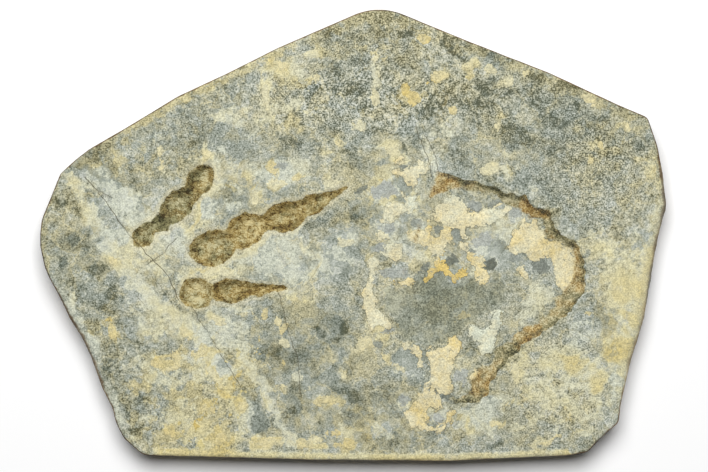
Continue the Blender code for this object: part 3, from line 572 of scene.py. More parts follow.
# smaller ones by kind, each an oval (x, y, half length, half width, turn) and how strong it is
clouds = {
    "dark": {"lighter": -0.9, "warmer": -0.1, "places": (
        (-20, 124, 6, 5, 0, 0.7), (-12, 123, 4, 4, 0, 0.7), (-12, 116, 4, 4, 0, 1.0),
        (2, 104, 9, 6, 0, 0.9), (-14, 102, 3, 2.5, 0, 0.7), (4, 125, 6, 5, 0, 0.6),
        (-18, 138, 4, 4, 0, 0.5), (38, 141, 5, 4, 0, 1.1), (30, 106, 3, 3, 0, 0.9),
        (33, 93, 2.6, 7, 0, 0.9), (10, 88, 6, 3, 0, 0.5), (49, 83, 8, 4.5, 30, 1.0),
        (62, 91, 4, 4, 0, 0.9), (34, 60, 4.5, 4, 0, 1.1), (-76, 78, 4, 3, 0, 0.6),
        (-45, 69, 16, 7, 5, 0.6), (-37, 65, 6, 5, 0, 0.6), (-18, 72, 9, 6, 0, 0.8),
        (-24, 60, 6, 4, 0, 0.5), (0, 62, 9, 8, 0, 0.7), (20, 71, 12, 4.5, 5, 0.7),
        (-50, 60, 6, 4, 0, 0.5), (5, 50, 9, 6, 0, 0.5), (-110, 65, 6, 6, 0, 0.6),
        (67, 135, 9, 6, -40, 1.2), (75, 127, 4, 3, 0, 0.7), (94, 107, 9, 5, -20, 1.0),
        (112, 98, 4, 2.6, 0, 0.9), (126, 107, 9, 4, -20, 0.6), (130, 95, 7, 9, 0, 0.5),
        (136, 83, 13, 5, -10, 0.6), (145, 76, 5, 4, 0, 0.9), (157, 87, 3.5, 4.5, 0, 0.9),
        (152, 102, 6, 4, 0, 0.5), (173, 82, 10, 3, -8, 0.8), (191, 87, 5, 4, 0, 0.7),
        (198, 65, 3.5, 5, 0, 0.9), (142, 103, 3, 3, 0, 0.7), (112, 68, 16, 9, 0, 0.5),
        (76, 56, 9, 9, 0, 0.5), (88, 92, 14, 5, 0, 0.4), (50, 68, 4, 4, 0, 0.5), (136, 38, 5, 6, 0, 0.4),
        (185, 37, 5, 5, 0, 0.5), (188, 5, 3, 6, 0, 0.4), (204, 12, 4, 4, 0, 0.6),
        (204, -6, 3.5, 5, 0, 0.5), (171, -47, 6, 3, 0, 0.6), (184, -53, 4, 3, 0, 0.4),
        (165, -78, 8, 2.4, 0, 0.5), (145, -123, 6, 5, 0, 0.6), (150, -136, 4.5, 6, 0, 0.9),
        (123, -133, 5, 4, 0, 0.6), (138, -131, 6, 4, 0, 0.4), (100, -146, 4, 4, 0, 0.8),
        (165, -142, 4, 3, 0, 0.5), (-61, -65, 6, 5, 0, 0.5), (-55, -80, 5, 9, 0, 0.5),
        (-65, -88, 4, 3, 0, 0.5), (-60, -98, 8, 4, 0, 0.6), (-27, -96, 2.6, 5, 0, 0.6),
        (-22, -45, 3, 6, 0, 0.7), (-25, -67, 4.5, 3, 0, 1.0), (-8, -61, 5, 5, 0, 1.0),
        (-13, -70, 6, 3, -20, 0.6), (-4, -108, 13, 5, -5, 0.8), (-23, -129, 3, 7, 0, 0.7),
        (-14, -124, 6, 4, 0, 0.4), (6, -122, 12, 12, 0, 0.6), (26, -146, 6, 4, 0, 0.8),
        (9, -143, 7, 5, 0, 0.5), (20, -112, 8, 6, 0, 0.5), (-66, -131, 10, 5, 0, 0.3),
        (-90, -92, 5, 8, 20, 0.3), (-88, -86, 4, 4, 0, 0.2), (-150, -116, 7, 8, 0, 0.7),
        (-150, -136, 5, 5, 0, 1.0), (-143, -142, 4, 4, 0, 0.6), (-161, -120, 5, 9, 20, 0.5),
        (-171, -88, 4.5, 13, -15, 1.0), (-175, -79, 4, 5, 0, 0.5), (-195, 0, 5, 6, 0, 0.4),
        (-184, -2, 4, 8, 0, 0.6), (-204, -20, 4, 5, 0, 1.0), (-208, -3, 4, 4, 0, 0.5),
        (-179, -27, 4, 6, 0, 1.0), (-190, -44, 7, 5, -20, 0.8), (-172, -40, 7, 4, 10, 1.0),
        (-177, -47, 9, 3, 0, 0.8), (-187, 32, 3, 4, 0, 0.8), (-181, 27, 3, 3, 0, 0.6),
        (-177, 18, 3, 6, 0, 0.4), (-148, -17, 4.5, 3.6, 0, 0.9), (-159, -30, 4, 2.4, 0, 0.9),
        (-150, 38, 7, 5, 0, 0.6), (-146, 31, 9, 4, 0, 0.4), (-126, -46, 3, 5, 30, 0.7),
        (-136, -35, 4, 3, -40, 0.4), (47, 39, 3.4, 3, 0, 1.0), (57, 3, 2.6, 4, 0, 0.6),
        (43, -25, 6, 5, 20, 0.5), (50, -22, 6, 2.4, 45, 0.9), (81, -33, 6, 5, 0, 0.9),
        (100, -40, 4.6, 7, 0, 0.9), (57, -41, 14, 8, 0, 0.5), (48, -52, 9, 4, 0, 0.7),
        (57, -58, 5, 6, 0, 0.7), (71, -66, 7, 5, 30, 0.6), (81, -77, 6, 6, 0, 0.6),
        (88, -88, 6, 4, 0, 0.5), (88, -92, 4, 3, 0, 0.7), (69, -101, 3, 5, 0, 0.6),
        (112, -53, 9, 3.6, -5, 0.5), (119, -38, 5, 4, 0, 0.3), (103, -30, 5, 5, 0, 0.4),
        (36, -60, 5, 6, 0, 0.3), (4, -47, 3, 8, 0, 0.5), (100, -8, 4, 8, 0, 0.4),
        (107, -10, 4, 5, 0, 0.4), (98, -84, 6, 4, 30, 0.6), (112, -86, 4, 4, 0, 0.6),
        (161.5, -21, 2.6, 8, 0, 0.9), (137, 17, 4, 3.4, 0, 0.9), (13, 47, 4, 3, 0, 0.5),
        (80, 44, 6, 2, -15, 0.5), (91, -80, 4, 3, 0, 0.3),
    )},
    "olive": {"lighter": -0.7, "warmer": 0.6, "places": (
        (20, 145, 10, 7, 0, 0.6), (5, 141, 7, 4, 0, 0.6), (32, 120, 6, 4, 0, 0.6),
        (-45, 107, 12, 5, 0, 0.5), (-58, 123, 4, 4, 0, 0.5), (-28, 100, 9, 3, 0, 0.4),
        (-52, 99, 4, 5, 0, 0.4), (-157, 53, 9, 6, 0, 0.7), (-172, 62, 12, 5, 30, 0.7),
        (-168, 47, 4, 5, 0, 0.5), (-143, 50, 4, 3, 0, 0.7), (-142, -27, 6, 4, 0, 1.0),
        (-182, -64, 8, 8, 0, 0.9), (-163, -66, 4, 9, 10, 0.7), (-170, -50, 7, 4, 0, 0.6),
        (-204, 22, 9, 2.4, -8, 0.9), (-191, 17, 7, 2.6, -35, 1.0), (-210, 15, 3, 4, 0, 0.6),
        (-152, -130, 6, 4, 0, 0.9), (-135, -143, 8, 5, 0, 0.3), (-3, 14, 10, 6, 0, 0.8),
        (6, 5, 5, 6, 0, 0.7), (96, 126, 14, 7, -22, 0.5), (85, 132, 9, 4, -22, 0.5),
        (150, 103, 10, 4, -22, 0.4), (168, 95, 6, 6, 0, 0.3), (5, -130, 10, 8, 0, 0.4),
        (10, -142, 9, 6, 0, 0.4), (-40, -122, 9, 6, 0, 0.5), (70, -132, 3.4, 4, 0, 0.9),
        (72, -141, 9, 5, 0, 0.5), (46, -143, 8, 4, 0, 0.4), (-85, -92, 4, 5, 0, 0.5),
        (-113, -93, 6, 4, 0, 0.5), (-128, -88, 2, 2.6, 0, 0.9), (-115, -110, 10, 5, 0, 0.5),
        (-138, -124, 2, 3, 0, 0.6), (95, -148, 10, 5, 0, 0.4), (155, -148, 8, 4, 0, 0.4),
        (105, -12, 4, 5, 0, 0.4), (62, -47, 14, 10, 0, 0.5), (212, 45, 4, 25, 0, 0.4),
        (62, -116, 4, 3, 0, 0.7), (30, -124, 2, 6, 35, 0.7), (108, -80, 4, 8, -40, 0.5),
        (12, 57, 8, 4, 0, 0.3),
    )},
    "pale": {"lighter": 0.9, "warmer": 0.0, "places": (
        (-160, 24, 9, 7, 20, 0.7), (-143, -40, 8, 7, 0, 1.5), (-146, -45, 6, 5, 0, 0.5),
        (-122, -62, 8, 5, -45, 0.9), (-136, -50, 10, 5, -35, 0.9), (-122, -8, 4, 8, 0, 0.6),
        (-118, -14, 3, 7, 0, 0.5), (-78, -16, 12, 4, 5, 0.5), (-45, -25, 14, 8, 0, 0.4),
        (-108, -70, 5, 9, 40, 0.3), (-78, -133, 3, 8, 30, 0.7), (-83, 25, 6, 5, 0, 0.5),
        (-60, 1, 7, 4, 0, 0.4), (-30, 35, 6, 3, 0, 0.3), (130, -40, 9, 9, 0, 0.8),
        (116, -35, 5, 4, 0, 0.5), (136, -47, 5, 6, 0, 0.5), (52, 62, 5, 8, -15, 0.7),
        (69, 76, 9, 8, 0, 0.6), (-90, 85, 10, 5, 0, 0.3), (113, -138, 6, 5, 0, 0.5),
        (26, -48, 3.4, 10, 0, 0.5), (60, -127, 6, 4, 0, 1.0), (75, -98, 4, 7, 0, 0.5),
        (175, 0, 8, 8, 0, 0.4), (126, 31, 4, 4, 0, 0.7), (30, -75, 5, 5, 0, 0.3),
        (-9, -71, 3, 5, -35, 0.5), (-158, 10, 6, 5, 0, 0.3), (47, 48, 7, 4, 0, 0.3),
        (-96, 48, 5, 9, 0, 0.4), (170, -122, 4, 6, 0, 0.6), (90, -4, 8, 8, 0, 0.5),
        (110, 10, 6, 9, -30, 0.5), (-20, 48, 6, 4, 0, 0.3), (120, -56, 8, 4, 10, 0.4),
        (-45, 88, 12, 3.4, 0, 0.5), (15, 20, 5, 7, 0, 0.2), (160, 24, 8, 5, 0, 0.2),
        (74, -26, 3, 5, 45, 0.4),
    )},
    "cream": {"lighter": 0.85, "warmer": 0.75, "places": (
        (-62, 104, 3.4, 16, 0, 0.9), (-60, 120, 9, 5, 20, 0.7), (-48, 117, 6, 6, 0, 0.9),
        (-28, 128, 5, 6, 0, 0.7), (-30, 110, 3.4, 6, 0, 0.8), (-95, 84, 7, 4, 0, 0.5),
        (-35, 88, 7, 3, 10, 0.6), (-53, 81, 5, 3, 0, 0.5), (-18, 94, 7, 6, 0, 0.4),
        (14, 97, 3, 6, 15, 0.7), (5, 78, 8, 5, 20, 0.7), (15, 113, 2.4, 8, 0, 0.7),
        (17, 124, 4, 5, 0, 0.5), (-10, 67, 4, 3.4, 0, 0.9), (-17, 56, 4, 5, 0, 0.7),
        (26, 60, 6, 5, 0, 0.8), (33, 52, 5, 5, 0, 0.8), (-102, 56, 5, 5, 0, 0.9),
        (-134, 60, 3, 9, 0, 0.4), (-110, 15, 4, 10, -10, 0.9), (-116, 5, 5, 6, 0, 0.6),
        (-105, 5, 6, 3, 20, 0.3), (-96, -26, 16, 4, 0, 1.0), (-118, -27, 6, 4, -20, 0.6),
        (-80, -27, 9, 4, 0, 0.5), (-168, -18, 7, 5, 0, 0.6), (-156, -14, 6, 7, 0, 0.4),
        (-192, 27, 9, 7, -20, 0.5), (-197, 38, 6, 5, 0, 0.4), (-190, -58, 4, 3, -30, 0.7),
        (-198, -48, 3, 5, 20, 0.6), (-158, -50, 5, 3, 0, 0.4), (-97, -98, 3, 12, 35, 0.9),
        (-90, -111, 4, 6, 35, 1.0), (-118, -67, 9, 4, -40, 0.6), (-95, -57, 6, 4, -20, 0.8),
        (-79, -120, 5, 5, 0, 0.8), (-77, -55, 8, 3.4, 0, 0.7), (-62, -112, 2.6, 10, 30, 0.7),
        (-45, -143, 3.4, 8, 25, 0.7), (-50, -107, 4, 3, 0, 0.6), (-6, -98, 4, 4, 0, 0.7),
        (-5, -78, 5, 3, 0, 0.3), (22, -87, 5, 3.4, -50, 0.9), (31, -93, 6, 3, -30, 0.6),
        (-34, -147, 5, 3, 0, 0.6), (-25, -143, 6, 4, 0, 0.5), (12, -62, 6, 6, 0, 0.6),
        (20, -62, 6, 6, -40, 0.6), (26, 18, 10, 7, 0, 0.8), (42, 24, 4, 9, -20, 0.8),
        (-2, -4, 9, 4, 0, 0.5), (-40, -46, 12, 5, 0, 0.5), (44, 20, 5, 6, 0, 0.3),
        (94, 46, 8, 5, 20, 0.9), (107, 43, 3, 7, 15, 0.6), (100, 78, 3, 6, -10, 0.6),
        (107, 108, 3.4, 6, 10, 0.6), (97, 118, 5, 3.4, -20, 0.6), (122, 115, 4, 4, 0, 0.7),
        (81, 119, 6, 4, 0, 0.7), (191, 76, 4, 6, 30, 0.7), (201, 74, 6, 5, 0, 0.6),
        (166, 54, 4, 5, 0, 0.6), (159, 70, 4, 4, 0, 0.5), (110, 55, 6, 4, 20, 0.4),
        (128, 67, 6, 5, 0, 0.3), (207, 45, 5, 14, 0, 0.5), (190, -35, 16, 8, -20, 0.5),
        (175, -8, 8, 9, 0, 0.4), (126, -90, 14, 8, -20, 0.4), (112, -97, 5, 10, 15, 0.8),
        (135, -110, 16, 10, 0, 0.3), (168, -102, 10, 12, 0, 0.8), (115, -85, 8, 5, 0, 0.4),
        (130, -145, 9, 3, 25, 0.8), (145, -90, 14, 8, 0, 0.3), (102, -112, 8, 8, 0, 0.4),
        (128, 0, 9, 9, 0, 0.5), (77, 18, 8, 8, 0, 0.2), (58, 52, 3, 6, 20, 0.4),
        (-62, -146, 13, 6, 0, 1.1), (-18, 37, 6, 4, 0, 0.7), (12, 38, 5, 5, 0, 0.5),
        (-140, -66, 10, 8, 0, 0.3), (85, 28, 3, 6, 35, 0.6), (-150, -88, 9, 9, 0, 0.3),
        (-131, -88, 10, 5, 0, 0.8), (80, -86, 6, 2.4, 0, 0.3),
    )},
    "yellow": {"lighter": 0.25, "warmer": 1.3, "places": (
        (-55, 35, 8, 4, 0, 0.9), (-57, 46, 4, 5, 0, 1.0), (-39, 40, 4, 3, 0, 0.9),
        (-68, 27, 6, 6, 0, 0.6), (-75, 45, 5, 5, 0, 0.5), (-135, -88, 4, 4, 0, 1.0),
        (-126, -83, 5, 4, 0, 0.7), (-128, -93, 6, 4, 0, 1.0), (-106, -83, 7, 5, 0, 0.9),
        (-95, -85, 5, 4, 0, 0.7), (-170, -60, 4, 3, 0, 1.0), (-168, -71, 2.6, 8, 10, 1.0),
        (-178, -67, 3, 4, 0, 0.5), (-150, -104, 9, 3.4, 0, 0.9), (-154, -110, 4, 3, 0, 0.7),
        (-118, -110, 9, 5, -20, 0.6), (-103, -122, 9, 5, 20, 0.8), (-130, -139, 10, 5, -15, 1.0),
        (-121, -150, 7, 3, 0, 1.0), (-93, -143, 7, 7, 0, 0.9), (-82, -106, 4, 3, 0, 0.7),
        (-60, -144, 9, 5, 0, 0.7), (-4, -146, 9, 4, 0, 1.0), (-27, -143, 8, 4, 0, 0.6),
        (-14, -138, 3, 3, 0, 0.9), (-17, -117, 8, 4, 0, 0.6), (0, -118, 4, 5, 0, 0.6),
        (42, 97, 7, 7, 0, 0.6), (48, 138, 4, 3.4, 0, 0.9), (60, 110, 7, 5, 0, 0.6),
        (80, 119, 5, 4, 0, 0.4), (173, 64, 5, 6, 0, 0.8), (183, 62, 4, 4, 0, 0.5),
        (199, 49, 4, 6, 0, 0.6), (194, -57, 7, 12, 10, 0.8), (185, -78, 9, 12, 0, 0.8),
        (181, -60, 4, 4, 0, 0.4), (155, -88, 9, 5, 0, 0.4), (168, -104, 6, 9, 0, 0.3),
        (110, -115, 4, 5, 0, 0.6), (102, -131, 4, 3, 0, 0.7), (79, -133, 3, 8, 20, 0.6),
        (46, -143, 5, 3, 0, 0.4), (42, 1, 6, 4, 0, 0.6), (55, -10, 4, 8, 0, 0.5), (12, -18, 4, 6, 0, 0.5),
        (20, -70, 7, 2.6, 0, 0.6), (-40, 79, 8, 4, 0, 0.5), (-163, 53, 6, 5, 0, 0.5),
        (167, 95, 7, 6, 0, 0.6), (-175, 52, 10, 5, 40, 0.4), (64, 36, 8, 7, 0, 0.4),
        (-103, 74, 2.4, 2.4, 0, 0.7), (-35, 108, 9, 6, 0, 0.3), (36, -77, 6, 2, 0, 0.5),
        (-141, -96, 5, 4, 0, 0.4),
    )},
    "blue": {"lighter": 0.15, "warmer": -1.1, "places": (
        (-100, 20, 5, 12, -25, 1.0), (-95, 68, 9, 10, 0, 0.7), (-82, 60, 10, 8, 0, 0.7),
        (40, 76, 9, 6, 0, 0.8), (-50, 49, 6, 2.6, 0, 0.9), (-47, 33, 5, 3.4, 0, 0.9),
        (-30, 35, 8, 4, 0, 0.6), (-168, 34, 8, 6, -20, 0.7), (-168, 2, 6, 5, 0, 0.7),
        (-195, 0, 6, 6, 0, 0.6), (-161, -5, 5, 4, 0, 0.6), (-158, -42, 6, 4, 0, 0.6),
        (-106, -68, 6, 9, 20, 0.8), (-102, -62, 6, 4, 0, 0.6), (-91, -95, 5, 9, 20, 0.7),
        (-64, -126, 12, 9, 0, 0.6), (25, 31, 10, 6, -10, 1.0), (14, 27, 6, 8, 0, 0.6),
        (-10, -8, 16, 12, 0, 0.6), (-50, -12, 20, 9, 0, 0.4), (16, -8, 5, 3.4, 0, 0.9),
        (38, -8, 4, 6, 0, 0.6), (30, -27, 9, 3.6, 0, 1.1), (25, 5, 4.6, 4.6, 0, 1.0),
        (44, 8, 5, 3.4, 0, 0.9), (60, 51, 5, 6, 0, 1.0), (83, 20, 5, 5, 0, 1.0), (92, -5, 10, 8, 0, 0.6),
        (130, -21, 8, 7, 0, 1.0), (112, -18, 6, 4, 0, 0.6), (36, -86, 10, 7, 0, 0.9),
        (48, -99, 3, 6, 0, 0.7), (35, -116, 5, 3, 0, 0.7), (184, -103, 5, 9, 0, 0.8),
        (184, -118, 4, 5, 0, 0.5), (94, -120, 10, 6, 0, 0.7), (163, -66, 12, 10, 0, 0.5),
        (83, -130, 4, 5, 0, 0.5), (76, 93, 8, 8, 0, 0.4), (60, 128, 9, 7, 0, 0.4),
        (134, 98, 5, 5, 0, 0.4), (42, -55, 7, 5, 0, 0.6), (42, -70, 7, 3, 0, 0.8),
        (72, -28, 8, 6, -45, 0.5), (-175, 22, 5, 7, 0, 0.5), (-70, -62, 6, 5, 0, 0.6),
        (-60, -20, 16, 10, 0, 0.3), (148, 2, 6, 8, 0, 0.5), (100, -48, 8, 6, 0, 0.4),
        (-126, 0, 8, 5, 0, 0.4), (-58, -44, 5, 4, 0, 0.6), (72, -3, 3, 5, 0, 0.8),
    )},
}

# long bands and veins: half width, how much lighter and warmer, and the line each follows
bands = (
    (5.0, 0.70, 0.25, (
        (-204, 49), (-191, 28), (-179, 9), (-169, -12), (-158, -27), (-143, -41), (-130, -54),
    )),
    (6.5, 1.10, 0.00, ((-143, -41), (-130, -54), (-114, -66), (-106, -78), (-98, -92))),
    (3.6, 0.90, 0.30, ((-101, -86), (-93, -101), (-86, -113), (-79, -122))),
    (3.2, 0.90, -0.10, ((-80, -121), (-69, -136), (-62, -150))),
    (3.0, 0.90, -0.20, ((-80, -90), (-64, -104), (-53, -125), (-44, -147))),
    (3.4, -0.15, -0.60, ((-92, -93), (-80, -106), (-68, -122), (-59, -140))),
    (1.7, 0.45, -0.60, ((114, 4), (99, -13), (91, -27), (76, -48), (64, -65), (57, -74))),
    (1.5, 0.40, -0.60, ((64, -11), (74, -19), (85, -28))),
    (6.0, 0.20, -0.60, ((-190, 51), (-177, 44), (-165, 32), (-155, 20), (-150, 10))),
    (2.6, 1.10, 0.50, (
        (-116, -27), (-108, -27), (-96, -23), (-84, -17), (-72, -9), (-64, -3), (-50, 0), (-36, 8),
    )),
    (1.4, 1.00, 0.60, ((-35, 0), (-31, -8), (-27, -14), (-25, -20), (-26, -26), (-33, -33))),
    (2.0, 0.70, 0.15, ((47, 74), (51, 63), (56, 50), (57, 41))),
    (1.4, 0.50, 0.30, (
        (-188, 38), (-177, 28), (-169, 21), (-160, 8), (-149, -6), (-140, -14), (-131, -23),
    )),
    (1.6, 0.60, 0.40, ((-121, 35), (-112, 25), (-105, 14), (-113, 6), (-121, 3))),
    (1.6, 0.60, 0.40, ((-104, 30), (-99, 34), (-95, 42), (-99, 51), (-108, 53))),
    (1.2, -0.70, 0.20, ((-182, 30), (-176, 20), (-168, 10), (-158, -2))),
)


def toneLayers(places):
    # how much lighter, warmer, grainier and more flecked than the plain stone
    layers = np.zeros((4, len(places)))
    for zone in zones:
        layers += np.array(zone[5:])[:, None] * (1 - smoothShare(0.45, 1.3, ovalReach(places, *zone[:5])))
    for kind in clouds.values():
        for *oval, strength in kind["places"]:
            weight = strength * softOval(places, oval)
            layers[0] += kind["lighter"] * weight
            layers[1] += kind["warmer"] * weight
    for halfWidth, lighter, warmer, run in bands:
        weight = 1 - smoothShare(0.6, 1.15, runGap(places, run)[0] / halfWidth)
        layers[0] += lighter * weight
        layers[1] += warmer * weight
        layers[2] -= 0.3 * weight
    return layers


# patches of other stone on the face, each with its tone: an oval or a loop of points

patches = {
    # thin pale crust: 0 whitish, 0.5 cream, 1 ochre
    "crust": (
        (0.45, (-28, 128, 4, 3, 0)), (0.50, (-50, 121, 4, 3, 0)), (0.40, (-62, 99, 2.4, 8, 5)),
        (0.45, (-26, 110, 2.6, 3.6, 0)), (0.25, (15, 113, 2, 6, 15)), (0.45, (16, 124, 3.4, 2.6, 0)),
        (0.40, (14, 97, 1.8, 4.5, 20)), (0.35, (6, 77, 5, 3, 0)), (0.55, (-10, 66, 3, 2.6, 0)),
        (0.45, (26, 60, 4.4, 4, 0)), (0.90, (37, 104, 2.4, 4.6, 0)), (0.80, (42, 97, 4.6, 4, 0)),
        (0.90, (52, 106, 3.6, 2.6, 0)), (0.65, (59, 111, 5, 3, 0)), (0.80, (48, 138, 3, 2.4, 0)),
        (0.80, (-103, 74, 2, 2, 0)), (0.50, (-103, 57, 3.4, 3.4, 0)), (0.55, (80, 119, 4, 2.6, 0)),
        (0.50, (96, 117, 4, 2.4, -10)), (0.60, (122, 114, 2.6, 3.4, 0)), (0.35, (108, 106, 2.4, 4, 0)),
        (0.70, (69, 87, 4, 1.8, -40)), (0.35, (94, 46, 6, 3.4, 20)), (0.35, (101, 78, 2, 4, -10)),
        (0.45, (166, 96, 4.6, 4, 0)), (0.40, (192, 77, 4, 2.6, 20)), (0.55, (202, 75, 3.4, 2.4, 0)),
        (0.60, (173, 64, 2.6, 4, 0)), (0.60, (166, 53, 2.4, 3.4, 0)), (0.30, (126, 31, 2.6, 2.2, 0)),
        (0.20, (107, 43, 1.8, 4.4, 20)), (0.45, (17, 1, 4.4, 2.4, 0)), (0.35, (-5, -5, 5, 2.4, 0)),
        (0.30, (-18, 38, 4.4, 2.6, 0)), (0.55, (-56, 35, 6, 3, 0)), (0.65, (-39, 40, 3.4, 2.2, 0)),
        (0.80, (-57, 46, 2, 4.4, 30)), (0.40, (-69, 26, 3.4, 4.4, 0)), (0.80, (-62, -55, 2.5, 3, 0)),
        (0.60, (-52, -60, 3, 2, 0)), (0.70, (-48, -65.5, 2.5, 2.5, 0)),
        (0.85, (-67, -72.5, 2.2, 3.2, 20)), (0.45, (-48.5, -76, 2.2, 3.2, 30)),
        (0.85, (-66.5, -83, 2.8, 2.4, 0)), (0.70, (-59, -80.5, 1.4, 1.6, 0)),
        (0.50, (-63, -87, 1.6, 1.6, 0)), (0.80, (-48, -90, 1.8, 4, 0)), (0.55, (-78, -55, 5, 2, 0)),
        (0.50, (-95, -58, 4, 2.4, -30)), (0.30, (-38, -98, 1.8, 4, 0)), (0.45, (-37, -108.5, 3, 1.5, 0)),
        (0.55, (-50, -107, 4, 2, 0)), (0.80, (-14, -137.5, 3, 2, 0)), (0.70, (-4, -145.5, 7, 2.4, 0)),
        (0.60, (-25, -142, 4, 2.4, 0)), (0.70, (-35, -146, 4, 3, 0)), (0.60, (-20, -116, 6, 2.4, 10)),
        (0.50, (0, -118, 2.6, 3, 0)), (0.40, (-6, -98, 3, 3, 0)),
        (0.40, ((2, -72), (8, -69), (12, -71), (13, -79), (8, -82), (2, -80), (0.5, -77))),
        (0.50, (22, -86, 5, 2.4, -45)), (0.50, (31, -92, 5.4, 2.2, -30)), (0.45, (15, -62, 7, 3, -30)),
        (0.55, (-62, -146, 10, 4, 0)), (0.90, (-172, -58, 3, 2, 0)), (0.75, (-169, -68, 1.8, 6, 10)),
        (0.75, (-136, -88, 3.4, 2.6, 0)), (0.65, (-127, -93, 5, 2.6, 0)), (0.70, (-125, -84, 3, 2.6, 0)),
        (0.65, (-106, -82, 5, 2.6, 10)), (0.70, (-150, -104, 5, 2, 0)), (0.80, (-113, -82, 2, 2, 0)),
        (0.40, (-96, -100, 2, 9, 35)), (0.60, (-79, -119, 4, 3.4, 0)), (0.60, (-98, -122, 4, 3.4, 0)),
        (0.80, (-130, -139, 7, 3, -20)), (0.65, (-93, -143, 3.4, 5, 0)), (0.70, (-121, -151, 6, 2, 0)),
        (0.60, (-105, -121, 4, 2.4, 30)), (0.35, (-96, -26, 12, 2.2, 0)), (0.55, (-167, -19, 4, 3, 0)),
        (0.80, (31, -61, 2, 2.4, 30)), (0.80, (53, -61, 1.8, 1.5, 0)), (0.70, (75, -57, 3, 1.4, 20)),
        (0.40, (113, -95, 3, 8, 10)), (0.75, (163, -55, 3.6, 2.2, 0)), (0.60, (134, -145, 8, 2.2, 15)),
        (0.60, (102, -131, 4, 2.2, 0)), (0.75, (68, -128, 2.6, 3.4, -40)), (0.50, (-135, 58, 2, 6, 0)),
        (0.15, (84, 30, 2, 6, 35)), (0.20, (60, -127, 4, 3, 0)), (0.50, (-118, -68, 6, 2, -45)),
    ),
    # windows of other beds: 0 pale blue-grey, 0.5 grey, 1 near black
    "windows": (
        (0.15, (22, 31, 9, 6, 0)), (0.25, (25, 4.5, 4, 4, 0)), (0.45, (43, 8, 4.2, 3, 0)),
        (0.25, (17, -8, 4.4, 3, 0)), (0.25, (30, -27, 9, 3.6, 0)), (0.75, (5.5, 33, 4, 2.4, 30)),
        (0.35, (84, 19.5, 4.4, 4, -20)), (0.50, (99, 23, 4, 2.6, 0)), (0.30, (112, 16, 5, 4, 0)),
        (0.60, (60, 4.5, 3.6, 3.6, 0)), (0.55, (73, 1, 2.4, 4.5, 40)), (0.15, (91, -4, 8, 6, 0)),
        (1.00, (95, -19, 4.4, 4, 30)), (0.85, (68, -17, 4.6, 4.6, 0)), (0.55, (102, -5, 4, 3.4, 30)),
        (0.60, (82, -12, 3, 2, 0)), (0.70, (131, -22, 6, 6, 0)), (0.45, (113, -17, 5, 3, 0)),
        (0.20, (75, -100, 4.4, 6, 0)), (0.75, (65, -113, 5.4, 2.2, 0)), (0.10, (59, -127, 4.4, 3, 0)),
        (0.25, (35, -115, 4, 2.6, -20)), (0.80, (56, -108, 2, 3, 0)), (0.55, (17, -75, 3, 2.4, 0)),
        (0.60, (37, 46, 4, 2, -30)), (0.30, (-50, 49, 4, 2, 0)), (0.85, (161.5, -21, 2, 6, 0)),
        (0.70, (50, -22, 5, 2, 45)), (0.35, (24, -66, 3, 1.6, 0)),
    ),
}


def patchLayer(places, named):
    # mm in from the edge of the nearest patch, and its tone
    edge = np.full(len(places), -farOff)
    tones = np.zeros(len(places))
    for patchTone, shape in named:
        inside = depthInside(places, shape)
        deeper = inside > edge
        edge[deeper] = inside[deeper]
        tones[deeper] = patchTone
    return edge, tones


# the mesh

def gridPlaces(u, v):
    # the square grid stretched between the four sides of the outline
    shares = [edgeShare(corner) for corner in slab["corners"]]
    for index in range(1, 4):
        while shares[index] < shares[index - 1]:
            shares[index] += 1.0
    shares.append(shares[0] + 1.0)
    sides = [
        shares[0] + u * (shares[1] - shares[0]), shares[1] + v * (shares[2] - shares[1]),
        shares[3] - u * (shares[3] - shares[2]), shares[4] - v * (shares[4] - shares[3]),
    ]
    bottom, right, top, left = [edgeAt(side % 1.0, rimWidth(side % 1.0)) for side in sides]
    ends = np.array(shares[:4]) % 1.0
    lowLeft, lowRight, highRight, highLeft = edgeAt(ends, rimWidth(ends))
    u, v = u[:, None], v[:, None]
    flat = (1 - u) * (1 - v) * lowLeft + u * (1 - v) * lowRight + u * v * highRight + (1 - u) * v * highLeft
    places = (1 - v) * bottom + v * top + (1 - u) * left + u * right - flat
    station = np.select([v[:, 0] < 1e-6, u[:, 0] > 1 - 1e-6, v[:, 0] > 1 - 1e-6], sides[:3], sides[3]) % 1.0
    return places, station


